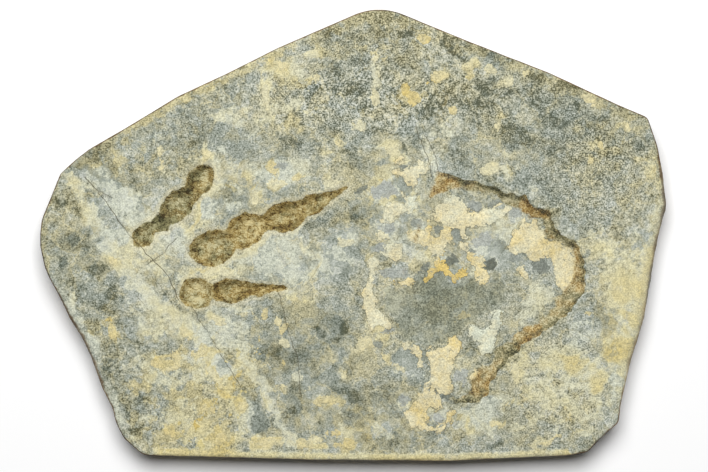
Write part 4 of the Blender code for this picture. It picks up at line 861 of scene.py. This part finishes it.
def growSides(bm, station, sideShare):
    # the worn rim, then the broken sides, one course of faces after another, and the underside
    rim = [edge for edge in bm.edges if edge.is_boundary]
    courses = [("rim", *course) for course in slab["rimCourses"]]
    courses += [("side", *course) for course in slab["sideCourses"]]
    for number, (kind, inset, level) in enumerate(courses):
        grown = bmesh.ops.extrude_edge_only(bm, edges=rim)["geom"]
        rim = [item for item in grown if isinstance(item, bmesh.types.BMEdge)]
        verts = [item for item in grown if isinstance(item, bmesh.types.BMVert)]
        shares = np.array([vert[station] for vert in verts])
        width = rimWidth(shares)
        outer = edgeAt(shares, np.zeros(len(shares)))
        if kind == "rim":
            height = slab["thickness"] + swellAt(outer) - level * width
            inset = inset * width
            amount = 0.35 * (1 - abs(number - 2) / 3)
        else:
            height = np.full(len(shares), level * slab["thickness"])
            amount = 1.0
        wander = slab["sideRoughness"] * np.maximum(0.0, noiseAt(outer, 17.0, 2.3 + 3.1 * level))
        chips = 0.5 * noiseAt(outer, 5.0, 4.1 + 5.0 * level) + 0.25 * noiseAt(outer, 2.6, 6.7 + 9.0 * level)
        if kind == "side" and level > 0.0:
            waves = noiseAt(outer, 28.0, 1.7 + level) + 0.3 * noiseAt(outer, 7.0, 5.2 + level)
            height = height + slab["bedWander"] * waves
        places = edgeAt(shares, np.maximum(0.0, inset + amount * (wander + chips)))
        for vert, place, z in zip(verts, places.tolist(), height.tolist()):
            vert.co = (place[0], place[1], z)
            vert[sideShare] = min(1.0, (number + 1) / len(slab["rimCourses"]))
    bmesh.ops.contextual_create(bm, geom=rim)


def faceHeight(places, bent, wobbled):
    height = slab["thickness"] + swellAt(places)
    for size, amount in slab["grain"]:
        height += amount * noiseAt(places, size, size)
    pads = padDepth(wobbled)
    size, amount = toes["wrinkles"]
    height += amount * smoothShare(0.3, 2.0, pads) * noiseAt(places, size, 7.7)
    height -= pads
    height -= printDepth(bent)
    flakes = patchLayer(bent, roundPrint["flakes"])[0]
    height += roundPrint["flakeHeight"] * smoothShare(0.0, 1.2, flakes)
    bare = depthInside(bent, roundPrint["bareFloor"])
    height -= roundPrint["bareDepth"] * smoothShare(0.0, 1.4, bare) * (1 - smoothShare(0.0, 1.2, flakes))
    nearest, _, plain = crackAndShadowLineGap(wobbled)
    height -= cracksAndShadowLines["depth"] * plain * np.exp(-(nearest / cracksAndShadowLines["halfWidth"]) ** 2)
    return height


def addLayer(mesh, name, values, low=-8.0, high=8.0):
    layer = mesh.attributes.new(name, "FLOAT", "POINT")
    layer.data.foreach_set("value", np.clip(values, low, high).astype(np.float32))


def markFace(mesh, places, bent, wobbled):
    # what the stone's finish needs to know at each point, kept as layers of numbers on the mesh
    stain = toeStain(bentBy(wobbled, slab["bends"]["stain"]))
    for name, values in zip(("stainEdge", "stainDark", "stainWarm"), stain):
        addLayer(mesh, name, values)
    stepNames = ("stepGap", "stepWidth", "stepDarkAndShade", "stepWarm", "stepShare")
    for name, values in zip(stepNames, stepStainAndShade(bent)):
        addLayer(mesh, name, values, high=20.0)
    for name, named in (
        ("flake", roundPrint["flakes"]), ("crust", patches["crust"]), ("window", patches["windows"]),
    ):
        edge, tones = patchLayer(bent, named)
        addLayer(mesh, name + "Edge", edge)
        addLayer(mesh, name + "Tone", tones)
    addLayer(mesh, "bareEdge", depthInside(bent, roundPrint["bareFloor"]))
    nearest, signed, plain = crackAndShadowLineGap(wobbled)
    addLayer(mesh, "crackAndShadowLineSide", signed)
    addLayer(mesh, "crackAndShadowLineShare", plain * (1 - smoothShare(1.5, 3.5, nearest)))
    layers = toneLayers(bentBy(places, slab["bends"]["clouds"]))
    layers[:2] += rimTintAndPaintedLight(places)
    for name, values in zip(("lighter", "warmer", "grainier", "flecked"), layers):
        addLayer(mesh, name, values, -1.3, 1.3)
    print("marks laid on the face")


def buildSlab():
    bm = bmesh.new()
    station = bm.verts.layers.float.new("station")
    sideShare = bm.verts.layers.float.new("sideShare")
    across, up = slab["cells"]
    bmesh.ops.create_grid(bm, x_segments=across, y_segments=up, size=1.0)
    square = np.array([vert.co[:2] for vert in bm.verts]) / 2 + 0.5
    places, stations = gridPlaces(square[:, 0], square[:, 1])
    for vert, place, share in zip(bm.verts, places.tolist(), stations.tolist()):
        vert.co = (place[0], place[1], slab["thickness"])
        vert[station] = share
    growSides(bm, station, sideShare)
    bmesh.ops.recalc_face_normals(bm, faces=bm.faces[:])
    bm.verts.layers.float.remove(station)
    mesh = bpy.data.meshes.new("trackSlab")
    bm.to_mesh(mesh)
    bm.free()
    print("slab grown:", len(mesh.vertices), "points")

    count = len(mesh.vertices)
    solid = np.empty(count * 3)
    mesh.vertices.foreach_get("co", solid)
    solid = solid.reshape(-1, 3)
    side = np.empty(count)
    mesh.attributes["sideShare"].data.foreach_get("value", side)
    places = solid[:, :2].copy()
    wobbled = bentBy(places, slab["bends"]["toes"])
    bent = bentBy(places, slab["bends"]["prints"])
    onFace = side == 0.0
    solid[onFace, 2] = faceHeight(places, bent, wobbled)[onFace]
    print("face pressed")
    markFace(mesh, places, bent, wobbled)
    addLayer(mesh, "height", solid[:, 2] / slab["thickness"])

    solid[:, :2] += slab["centring"]
    solid *= mm
    low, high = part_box("track_slab")
    solid = np.clip(solid, low, high)
    mesh.vertices.foreach_set("co", solid.ravel())
    mesh.update()
    mesh.shade_smooth()
    mesh.set_sharp_from_angle(angle=math.radians(slab["sharpAngle"]))
    underside = max(mesh.polygons, key=lambda face: len(face.vertices))
    underside.use_smooth = False
    piece = bpy.data.objects.new("trackSlab", mesh)
    bpy.context.collection.objects.link(piece)
    return piece


# finishes

paint = {
    "exposure": 1.15,  # how much brighter than its own tone the lit stone looks
    "roughness": 0.82,
    "gloss": 0.3,
    "bump": 0.8,
    # dark, middle and light grains of the cool and of the warm stone
    "cool": ((82, 90, 75), (157, 164, 152), (217, 220, 210)),
    "warm": ((88, 86, 56), (178, 173, 138), (228, 220, 178)),
    "lightSpread": 0.24,  # how far the soft clouds go towards the dark and the light grains
    "warmSpread": 0.38,
    "islandTones": ((208, 211, 190), (214, 208, 166), (208, 188, 116)),
    "fleckTones": ((208, 206, 172), (210, 198, 138), (198, 172, 92)),
    "crustTones": ((208, 211, 190), (220, 212, 170), (208, 188, 118)),
    "flakeTones": ((214, 218, 196), (222, 213, 174), (214, 190, 116)),
    # painted shadow: the dark line round the edges of the raised flakes
    "flakeEdge": (104, 104, 82),
    "windowTones": ((180, 184, 178), (140, 146, 136), (76, 82, 70)),
    "bareFloor": (136, 140, 120),
    "oliveStain": ((58, 56, 32), (134, 130, 90), (200, 194, 154)),
    "warmStain": ((70, 50, 16), (158, 134, 74), (216, 200, 144)),
    "stainHalo": (210, 202, 166),
    "stepOlive": ((54, 54, 32), (138, 132, 94), (206, 198, 160)),
    "stepWarm": ((76, 52, 16), (166, 136, 76), (218, 200, 148)),
    # cracks, and the painted shadow line along one crust flake's edge
    "crackAndShadowLine": (82, 76, 54),
    "brink": (96, 72, 44),
    "sideCool": ((78, 76, 66), (146, 144, 128), (196, 192, 172)),
    "sideWarm": ((84, 66, 42), (162, 142, 104), (208, 192, 152)),
}


def tone(color):
    # a screen colour as the stone's own tone under this light
    linear = [((part / 255 + 0.055) / 1.055) ** 2.4 for part in color]
    return (*[part / paint["exposure"] for part in linear], 1.0)


class Finish:
    # a material with short ways to add and join its nodes

    def __init__(self, name):
        self.material = bpy.data.materials.new(name)
        self.material.use_nodes = True
        self.tree = self.material.node_tree
        self.shader = self.tree.nodes["Principled BSDF"]
        self.place = self.add("ShaderNodeTexCoord").outputs["Object"]
        self.relief = []  # mm of fine relief from each part of the finish

    def add(self, kind, **settings):
        node = self.tree.nodes.new(kind)
        for name, value in settings.items():
            setattr(node, name, value)
        return node

    def feed(self, socket, value):
        if isinstance(value, bpy.types.NodeSocket):
            self.tree.links.new(value, socket)
        else:
            socket.default_value = value

    def math(self, operation, *values, clamp=False):
        node = self.add("ShaderNodeMath", operation=operation, use_clamp=clamp)
        for socket, value in zip(node.inputs, values):
            self.feed(socket, value)
        return node.outputs[0]

    def times(self, *values):
        total = values[0]
        for value in values[1:]:
            total = self.math("MULTIPLY", total, value)
        return total

    def plus(self, *values):
        total = values[0]
        for value in values[1:]:
            total = self.math("ADD", total, value)
        return total

    def weighed(self, *parts):
        # each value times its weight, all added up
        return self.plus(*[self.times(value, weight) for value, weight in parts])

    def share(self, value, low, high):
        node = self.add("ShaderNodeMapRange", interpolation_type="SMOOTHSTEP", clamp=True)
        for name, given in (("Value", value), ("From Min", low), ("From Max", high)):
            self.feed(node.inputs[name], given)
        return node.outputs["Result"]

    def layer(self, name):
        return self.add("ShaderNodeAttribute", attribute_name=name).outputs["Fac"]

    def noise(self, scale, detail=1.0, roughness=0.5, place=None):
        # noise about 0, near -0.5 to 0.5; scale is bumps to the metre
        node = self.add("ShaderNodeTexNoise")
        self.feed(node.inputs["Vector"], place or self.place)
        node.inputs["Scale"].default_value = scale
        node.inputs["Detail"].default_value = detail
        node.inputs["Roughness"].default_value = roughness
        return self.math("SUBTRACT", node.outputs["Fac"], 0.5)

    def ramp(self, value, colors):
        node = self.add("ShaderNodeValToRGB")
        stops = node.color_ramp.elements
        while len(stops) < len(colors):
            stops.new(0.5)
        for index, (stop, color) in enumerate(zip(stops, colors)):
            stop.position = index / (len(colors) - 1)
            stop.color = tone(color)
        self.feed(node.inputs["Fac"], value)
        return node.outputs["Color"]

    def mix(self, share, one, two):
        node = self.add("ShaderNodeMix", data_type="RGBA")
        self.feed(node.inputs[0], share)
        self.feed(node.inputs[6], one)
        self.feed(node.inputs[7], two)
        return node.outputs[2]

    def shade(self, color, amount):
        node = self.add("ShaderNodeVectorMath", operation="SCALE")
        self.feed(node.inputs[0], color[:3] if isinstance(color, tuple) else color)
        self.feed(node.inputs["Scale"], amount)
        return node.outputs[0]

    def torn(self, scale, reach):
        # places pushed about by up to half of reach, so that the marks drawn at them are ragged
        node = self.add("ShaderNodeTexNoise")
        self.feed(node.inputs["Vector"], self.place)
        node.inputs["Scale"].default_value = scale
        node.inputs["Detail"].default_value = 5.0
        node.inputs["Roughness"].default_value = 0.62
        push = self.add("ShaderNodeVectorMath", operation="SUBTRACT")
        self.feed(push.inputs[0], node.outputs["Color"])
        push.inputs[1].default_value = (0.5, 0.5, 0.5)
        moved = self.add("ShaderNodeVectorMath", operation="MULTIPLY_ADD")
        self.feed(moved.inputs[0], push.outputs[0])
        moved.inputs[1].default_value = (reach, reach, reach)
        self.feed(moved.inputs[2], self.place)
        return moved.outputs[0]

    def patchwork(self, scale, place):
        # angular patches: two numbers for each, from -0.5 to 0.5, and how far in from its edge
        patch = self.add("ShaderNodeTexVoronoi")
        edge = self.add("ShaderNodeTexVoronoi", feature="DISTANCE_TO_EDGE")
        for node in (patch, edge):
            self.feed(node.inputs["Vector"], place)
            node.inputs["Scale"].default_value = scale
        parts = self.add("ShaderNodeSeparateColor")
        self.feed(parts.inputs[0], patch.outputs["Color"])
        first = self.math("SUBTRACT", parts.outputs[0], 0.5)
        second = self.math("SUBTRACT", parts.outputs[1], 0.5)
        return first, second, edge.outputs["Distance"]

    def stretched(self, scale):
        node = self.add("ShaderNodeMapping")
        self.feed(node.inputs["Vector"], self.place)
        node.inputs["Scale"].default_value = scale
        return node.outputs["Vector"]


def grainOf(f):
    # the stone's grain: sharp is its pepper, soft its mottling, strength how much of both there is
    fine, small, mid = f.noise(1000, 0.5), f.noise(430, 1), f.noise(200, 1)
    broad, wide, cloud = f.noise(95, 1), f.noise(42, 1), f.noise(17, 2)
    threads = f.share(f.math("ABSOLUTE", f.noise(210, 2, 0.6)), 0.028, 0.0)
    big, bigHue, bigEdge = f.patchwork(58, f.torn(120, 0.016))
    chip, chipHue, chipEdge = f.patchwork(165, f.torn(330, 0.006))
    smooth = f.share(f.layer("grainier"), 0.25, -0.3)
    veins = f.times(f.share(bigEdge, 0.06, 0.01), f.share(f.noise(38, 1), -0.06, 0.06))
    seams = f.times(f.share(chipEdge, 0.07, 0.015), f.share(f.noise(55, 2), 0.0, 0.1))
    return {
        "big": big,
        "bigHue": bigHue,
        "chip": chip,
        "chipHue": chipHue,
        "smooth": smooth,
        "veins": veins,
        "seams": seams,
        "small": small,
        "mid": mid,
        "wide": wide,
        "ragged": f.noise(75, 5, 0.7),
        "strength": f.plus(f.layer("grainier"), 0.85),
        "sharp": f.plus(f.weighed((fine, 2.0), (small, 0.95), (mid, 0.5), (threads, 0.1)), -0.02),
        "soft": f.weighed((broad, 0.45), (wide, 0.45), (cloud, 0.25)),
        "hueSmall": f.noise(150, 1.5, place=f.stretched((1, 1, 1.3))),
        "hueWide": f.noise(34, 1.5, place=f.stretched((1.1, 1, 1))),
    }


def plainStone(f, grain):
    lighter, warmer = f.layer("lighter"), f.layer("warmer")
    mottle = f.times(grain["soft"], f.plus(f.times(grain["strength"], 0.5), 0.2))
    pepper = f.times(grain["sharp"], grain["strength"], f.plus(0.95, f.times(grain["smooth"], -0.3)))
    stones = f.weighed((grain["big"], 0.2), (grain["chip"], 0.16), (grain["veins"], 0.12))
    stones = f.plus(stones, f.times(grain["seams"], -0.18))
    stones = f.times(stones, f.plus(0.25, grain["smooth"]))
    light = f.plus(0.495, pepper, mottle, stones, f.times(lighter, paint["lightSpread"]))
    # ragged dark patches where the clouds are dark
    ragged = ((grain["ragged"], 2.7), (grain["mid"], 0.5), (grain["chip"], 0.35), (grain["big"], 0.25))
    field = f.plus(lighter, *[f.times(value, weight) for value, weight in ragged])
    light = f.plus(light, f.times(f.share(field, -0.5, -0.85), -0.12))
    hue = f.plus(grain["hueSmall"], grain["hueWide"], f.times(grain["veins"], 0.3))
    hue = f.plus(hue, f.times(grain["bigHue"], 0.3), f.times(grain["chipHue"], 0.3))
    hue = f.times(hue, f.plus(0.68, f.times(grain["smooth"], 0.5)))
    broken = f.plus(1.0, f.times(grain["chipHue"], 1.2), f.times(grain["hueSmall"], 2.0))
    warmth = f.plus(0.42, hue, f.times(warmer, paint["warmSpread"], broken))
    stone = f.mix(f.share(warmth, 0.0, 1.0), f.ramp(light, paint["cool"]), f.ramp(light, paint["warm"]))
    # torn ochre patches where the clouds are warm
    torn = f.plus(warmer, f.times(grain["ragged"], 2.4), f.times(grain["chipHue"], 0.7))
    torn = f.plus(torn, f.times(grain["mid"], 0.5))
    ochre = f.shade(f.ramp(0.8, paint["islandTones"]), f.plus(0.98, f.times(grain["sharp"], 0.6)))
    stone = f.mix(f.times(f.share(torn, 0.62, 0.74), f.share(lighter, -0.6, 0.3), 0.3), stone, ochre)
    # ragged pale islands where they are light
    island = f.share(f.plus(field, f.times(f.layer("flecked"), 0.12)), 0.4, 0.5)
    islandTone = f.plus(0.1, f.times(warmer, 0.55), grain["hueWide"])
    colour = f.shade(f.ramp(islandTone, paint["islandTones"]), f.plus(1.0, f.times(grain["sharp"], 0.5)))
    f.relief.append(f.times(island, 0.12))
    return f.mix(f.times(island, f.plus(0.62, f.times(grain["small"], 1.2))), stone, colour)


def addFlecks(f, grain, stone):
    # small flecks of crust scattered where the face is flecked
    field = f.plus(f.noise(115, 3, 0.65, place=f.stretched((1, 0.85, 1))), f.times(grain["wide"], 0.4))
    amount = f.times(f.share(field, 0.12, 0.16), f.math("MULTIPLY", f.layer("flecked"), 0.9, clamp=True))
    colour = f.ramp(f.plus(0.5, f.times(grain["hueWide"], 2.0)), paint["fleckTones"])
    f.relief.append(f.times(amount, 0.15))
    return f.mix(amount, stone, f.shade(colour, f.plus(1.0, f.times(grain["sharp"], 0.5))))


def addCrust(f, grain, stone):
    # thin crust, holed and ragged, with the stone's pepper showing through it
    ragged = f.weighed((grain["ragged"], 10.0), (grain["chip"], 2.6), (grain["big"], 1.4))
    amount = f.share(f.plus(f.layer("crustEdge"), ragged), -0.2, 0.3)
    thin = f.plus(0.84, grain["mid"])
    shade = f.plus(f.layer("crustTone"), f.times(grain["hueWide"], 0.8), f.times(grain["small"], 0.25))
    colour = f.shade(f.ramp(shade, paint["crustTones"]), f.plus(1.0, f.times(grain["sharp"], 0.45)))
    f.relief.append(f.times(amount, 0.2))
    return f.mix(f.times(amount, thin), stone, colour)


def addWindows(f, grain, stone):
    ragged = f.weighed((f.noise(240, 4, 0.7), 7.0), (grain["ragged"], 9.0), (grain["chip"], 2.4))
    colour = f.ramp(f.plus(f.layer("windowTone"), f.times(grain["mid"], 0.5)), paint["windowTones"])
    colour = f.shade(colour, f.plus(1.0, f.times(f.plus(grain["sharp"], grain["soft"]), 0.6)))
    return f.mix(f.times(f.share(f.plus(f.layer("windowEdge"), ragged), -0.4, 0.4), 0.85), stone, colour)


def addRoundPrint(f, grain, stone):
    # the bare floor, the flakes standing on it and a thin dark line of painted shadow round each of them
    ragged = f.weighed((f.noise(230, 4, 0.7), 7.0), (grain["ragged"], 9.0), (grain["chip"], 3.2))
    bare = f.share(f.plus(f.layer("bareEdge"), ragged), -0.4, 0.6)
    dim = f.mix(0.55, stone, f.shade(tone(paint["bareFloor"]), f.plus(1.0, f.times(grain["sharp"], 0.8))))
    stone = f.mix(bare, stone, dim)
    # painted shadow: a broken dark line just outside the edge of each flake
    edge = f.plus(f.layer("flakeEdge"), ragged)
    outline = f.times(f.share(edge, -1.0, -0.2), f.share(f.noise(60, 1), -0.12, 0.1), 0.7)
    stone = f.mix(outline, stone, tone(paint["flakeEdge"]))
    shade = f.plus(f.layer("flakeTone"), f.times(f.noise(60, 3, 0.6), 1.3), f.times(grain["small"], 0.4))
    mottle = f.weighed((grain["sharp"], 0.5), (grain["soft"], 0.5), (grain["ragged"], 0.4))
    mottle = f.plus(0.98, mottle, f.times(f.layer("lighter"), 0.07))
    colour = f.shade(f.ramp(shade, paint["flakeTones"]), mottle)
    pits = f.share(f.noise(150, 4, 0.7), 0.12, 0.15)
    amount = f.times(f.share(edge, -0.2, 0.15), f.plus(1.0, f.times(pits, -0.75)))
    f.relief.append(f.times(amount, 0.45))
    return f.mix(amount, stone, colour)


def addStep(f, grain, stone):
    # the stained step: dark along its outer line, partly stain and partly painted shade where the step falls
    # away, browner and paler inside, fading out ragged
    gap = f.plus(f.layer("stepGap"), f.times(f.noise(140, 3, 0.65), 3.0), f.times(f.noise(60, 1), 3.0))
    streaks = f.noise(110, 4, 0.7)
    inner = f.plus(f.layer("stepWidth"), f.times(f.layer("stepGap"), -1.0), f.times(grain["ragged"], 14.0))
    fade = f.times(f.share(inner, -1.2, 1.8), f.share(gap, -0.5, 0.3), f.layer("stepShare"))
    # stain and painted shade: the dark line along the step's outer edge
    line = f.times(f.share(gap, 4.2, 1.8), f.plus(f.times(f.layer("stepDarkAndShade"), 0.7), 0.3))
    light = f.plus(0.62, f.times(line, -0.42), f.times(grain["sharp"], 0.7), f.times(grain["soft"], 0.6))
    light = f.plus(light, f.times(streaks, 1.7))
    warm = f.plus(f.layer("stepWarm"), f.times(line, -0.3), f.times(grain["hueSmall"], 2.0), -0.12)
    olive, brown = f.ramp(light, paint["stepOlive"]), f.ramp(light, paint["stepWarm"])
    colour = f.mix(f.share(warm, 0.0, 1.0), olive, brown)
    f.relief.append(f.times(fade, streaks, 1.2))
    return f.mix(f.times(fade, f.plus(0.95, f.times(grain["mid"], 0.4))), stone, colour)


def addToes(f, grain, stone):
    # the stain in the toes, with a pale halo and dark wrinkles
    crumbs = f.noise(150, 4, 0.7)
    ragged = f.plus(f.times(f.noise(420, 2.5, 0.65), 1.8), f.times(f.noise(130, 1), 1.8))
    edge = f.plus(f.layer("stainEdge"), ragged)
    halo = f.times(f.share(edge, -3.0, -1.2), 0.45)
    stone = f.mix(halo, stone, f.shade(tone(paint["stainHalo"]), f.plus(1.0, f.times(grain["sharp"], 0.6))))
    wrinkle = f.share(f.math("ABSOLUTE", f.noise(125, 3, 0.6, place=f.stretched((1, 1.5, 1)))), 0.05, 0.0)
    inner = f.share(f.plus(edge, f.times(grain["ragged"], 6.0)), 0.8, 6.0)
    lit = f.plus(0.65, f.times(inner, 0.12), f.times(f.layer("stainDark"), -0.75))
    lit = f.plus(lit, f.times(grain["chip"], 0.1))
    light = f.plus(lit, f.times(grain["sharp"], 0.45), f.times(crumbs, 1.3), f.times(grain["soft"], 0.5))
    light = f.plus(light, f.times(wrinkle, -0.36))
    warm = f.plus(f.layer("stainWarm"), f.times(grain["hueSmall"], 1.6), f.times(grain["hueWide"], 0.8))
    warm = f.plus(warm, f.times(inner, -0.2), f.times(wrinkle, 0.3), 0.06)
    olive, brown = f.ramp(light, paint["oliveStain"]), f.ramp(light, paint["warmStain"])
    colour = f.mix(f.share(warm, 0.0, 1.1), olive, brown)
    amount = f.share(edge, -0.4, 0.6)
    f.relief.append(f.times(amount, f.plus(f.times(crumbs, 1.6), f.times(wrinkle, -0.3))))
    return f.mix(amount, stone, colour)


def addCracksAndShadowLines(f, stone):
    # dark lines along the cracks, and painted shadow along one crust flake's edge
    ragged = f.weighed((f.noise(500, 1.5), 0.8), (f.noise(130, 1), 1.2))
    width = f.math("ABSOLUTE", f.plus(f.layer("crackAndShadowLineSide"), ragged))
    line = f.times(f.share(width, 0.5, 0.1), f.layer("crackAndShadowLineShare"), f.share(f.noise(60, 1), -0.4, 0.0))
    f.relief.append(f.times(line, -0.25))
    return f.mix(f.times(line, 0.9), stone, tone(paint["crackAndShadowLine"]))


def addSides(f, grain, stone):
    # broken sides: beds of warm and cool stone, brown along the brink
    beds = f.noise(60, 3, 0.6, place=f.stretched((0.35, 0.35, 4.0)))
    light = f.plus(0.5, f.weighed((beds, 1.3), (f.noise(500, 3, 0.75), 0.9), (f.noise(90, 2), 0.7)))
    warm = f.share(f.plus(beds, grain["hueWide"]), -0.2, 0.2)
    colour = f.mix(warm, f.ramp(light, paint["sideCool"]), f.ramp(light, paint["sideWarm"]))
    edge = f.plus(f.layer("sideShare"), f.times(f.noise(160, 3, 0.6), 0.8))
    stone = f.mix(f.share(edge, 0.5, 1.0), stone, colour)
    ragged = f.plus(f.times(beds, 0.5), f.times(f.noise(45, 3, 0.6), 0.5))
    brink = f.times(f.share(edge, 0.45, 0.75), f.share(f.plus(f.layer("height"), ragged), 0.5, 0.85))
    # brown along the top of the broken sides, fading where the face above is lighter
    brinkAmount = f.share(f.plus(f.layer("lighter"), f.times(ragged, 2.0)), 1.2, 0.2)
    brown = f.shade(tone(paint["brink"]), f.plus(1.0, f.times(beds, 1.6), f.times(grain["sharp"], 0.8)))
    face = f.share(f.layer("sideShare"), 0.6, 0.1)
    ledges = f.times(f.share(f.layer("sideShare"), 0.4, 1.0), beds, 1.2)
    f.relief = [f.times(face, f.plus(*f.relief)), ledges]
    return f.mix(f.times(brink, brinkAmount, 0.85), stone, brown)


def stoneFinish():
    f = Finish("printedStone")
    grain = grainOf(f)
    stone = addFlecks(f, grain, plainStone(f, grain))
    stone = addWindows(f, grain, addCrust(f, grain, stone))
    stone = addStep(f, grain, addRoundPrint(f, grain, stone))
    stone = addCracksAndShadowLines(f, addToes(f, grain, stone))
    f.feed(f.shader.inputs["Base Color"], addSides(f, grain, stone))
    f.feed(f.shader.inputs["Roughness"], f.plus(paint["roughness"], f.times(grain["small"], 0.25)))
    f.shader.inputs["Specular IOR Level"].default_value = paint["gloss"]
    grit = f.plus(f.times(f.noise(620, 2, 0.7), 0.4), f.times(grain["mid"], 0.4))
    bump = f.add("ShaderNodeBump")
    bump.inputs["Strength"].default_value = paint["bump"]
    bump.inputs["Distance"].default_value = mm
    f.feed(bump.inputs["Height"], f.plus(grit, *f.relief))
    f.feed(f.shader.inputs["Normal"], bump.outputs["Normal"])
    return f.material


# floor, light and camera

studio = {
    "floorHalf": 3.0,
    "floorTone": 0.9,
    "worldStrength": 0.05,
    "lampSize": (1.7, 1.5),
    "lampPlace": (-0.05, 0.95, 2.2),
    "lampPower": 80.0,
    "cameraHeight": 1.8,  # above the face
    "viewWidth": 0.4956,  # across the picture, at the face
    "viewCentre": (0.00038, -0.00039),
    "sensor": 36.0,
    "farthest": 20.0,  # how far the camera sees
}


def buildStudio():
    bm = bmesh.new()
    bmesh.ops.create_grid(bm, x_segments=1, y_segments=1, size=studio["floorHalf"])
    mesh = bpy.data.meshes.new("studioFloor")
    bm.to_mesh(mesh)
    bm.free()
    floor = bpy.data.objects.new("studioFloor", mesh)
    bpy.context.collection.objects.link(floor)
    paper = Finish("paleFloor")
    paper.shader.inputs["Base Color"].default_value = (*[studio["floorTone"]] * 3, 1.0)
    paper.shader.inputs["Roughness"].default_value = 0.9
    paper.shader.inputs["Specular IOR Level"].default_value = 0.0
    mesh.materials.append(paper.material)

    world = bpy.data.worlds.new("studioWorld")
    world.use_nodes = True
    world.node_tree.nodes["Background"].inputs["Color"].default_value = (1.0, 1.0, 1.0, 1.0)
    world.node_tree.nodes["Background"].inputs["Strength"].default_value = studio["worldStrength"]
    bpy.context.scene.world = world

    light = bpy.data.lights.new("softLamp", "AREA")
    light.shape = "RECTANGLE"
    light.size, light.size_y = studio["lampSize"]
    light.energy = studio["lampPower"]
    lamp = bpy.data.objects.new("softLamp", light)
    lamp.location = studio["lampPlace"]
    lamp.rotation_euler = (-Vector(studio["lampPlace"])).to_track_quat("-Z", "Y").to_euler()
    bpy.context.collection.objects.link(lamp)

    lens = bpy.data.cameras.new("overhead")
    lens.sensor_width = studio["sensor"]
    lens.lens = studio["sensor"] * studio["cameraHeight"] / studio["viewWidth"]
    lens.clip_end = studio["farthest"]
    camera = bpy.data.objects.new("overhead", lens)
    camera.location = (*studio["viewCentre"], slab["thickness"] * mm + studio["cameraHeight"])
    bpy.context.collection.objects.link(camera)
    bpy.context.scene.camera = camera
    bpy.context.scene.view_settings.view_transform = "Standard"


trackSlab = buildSlab()
trackSlab.data.materials.append(stoneFinish())
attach(trackSlab, "root")
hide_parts("track_slab")
print("slab finished:", sum(len(face.vertices) - 2 for face in trackSlab.data.polygons), "triangles")
buildStudio()
print("studio ready")
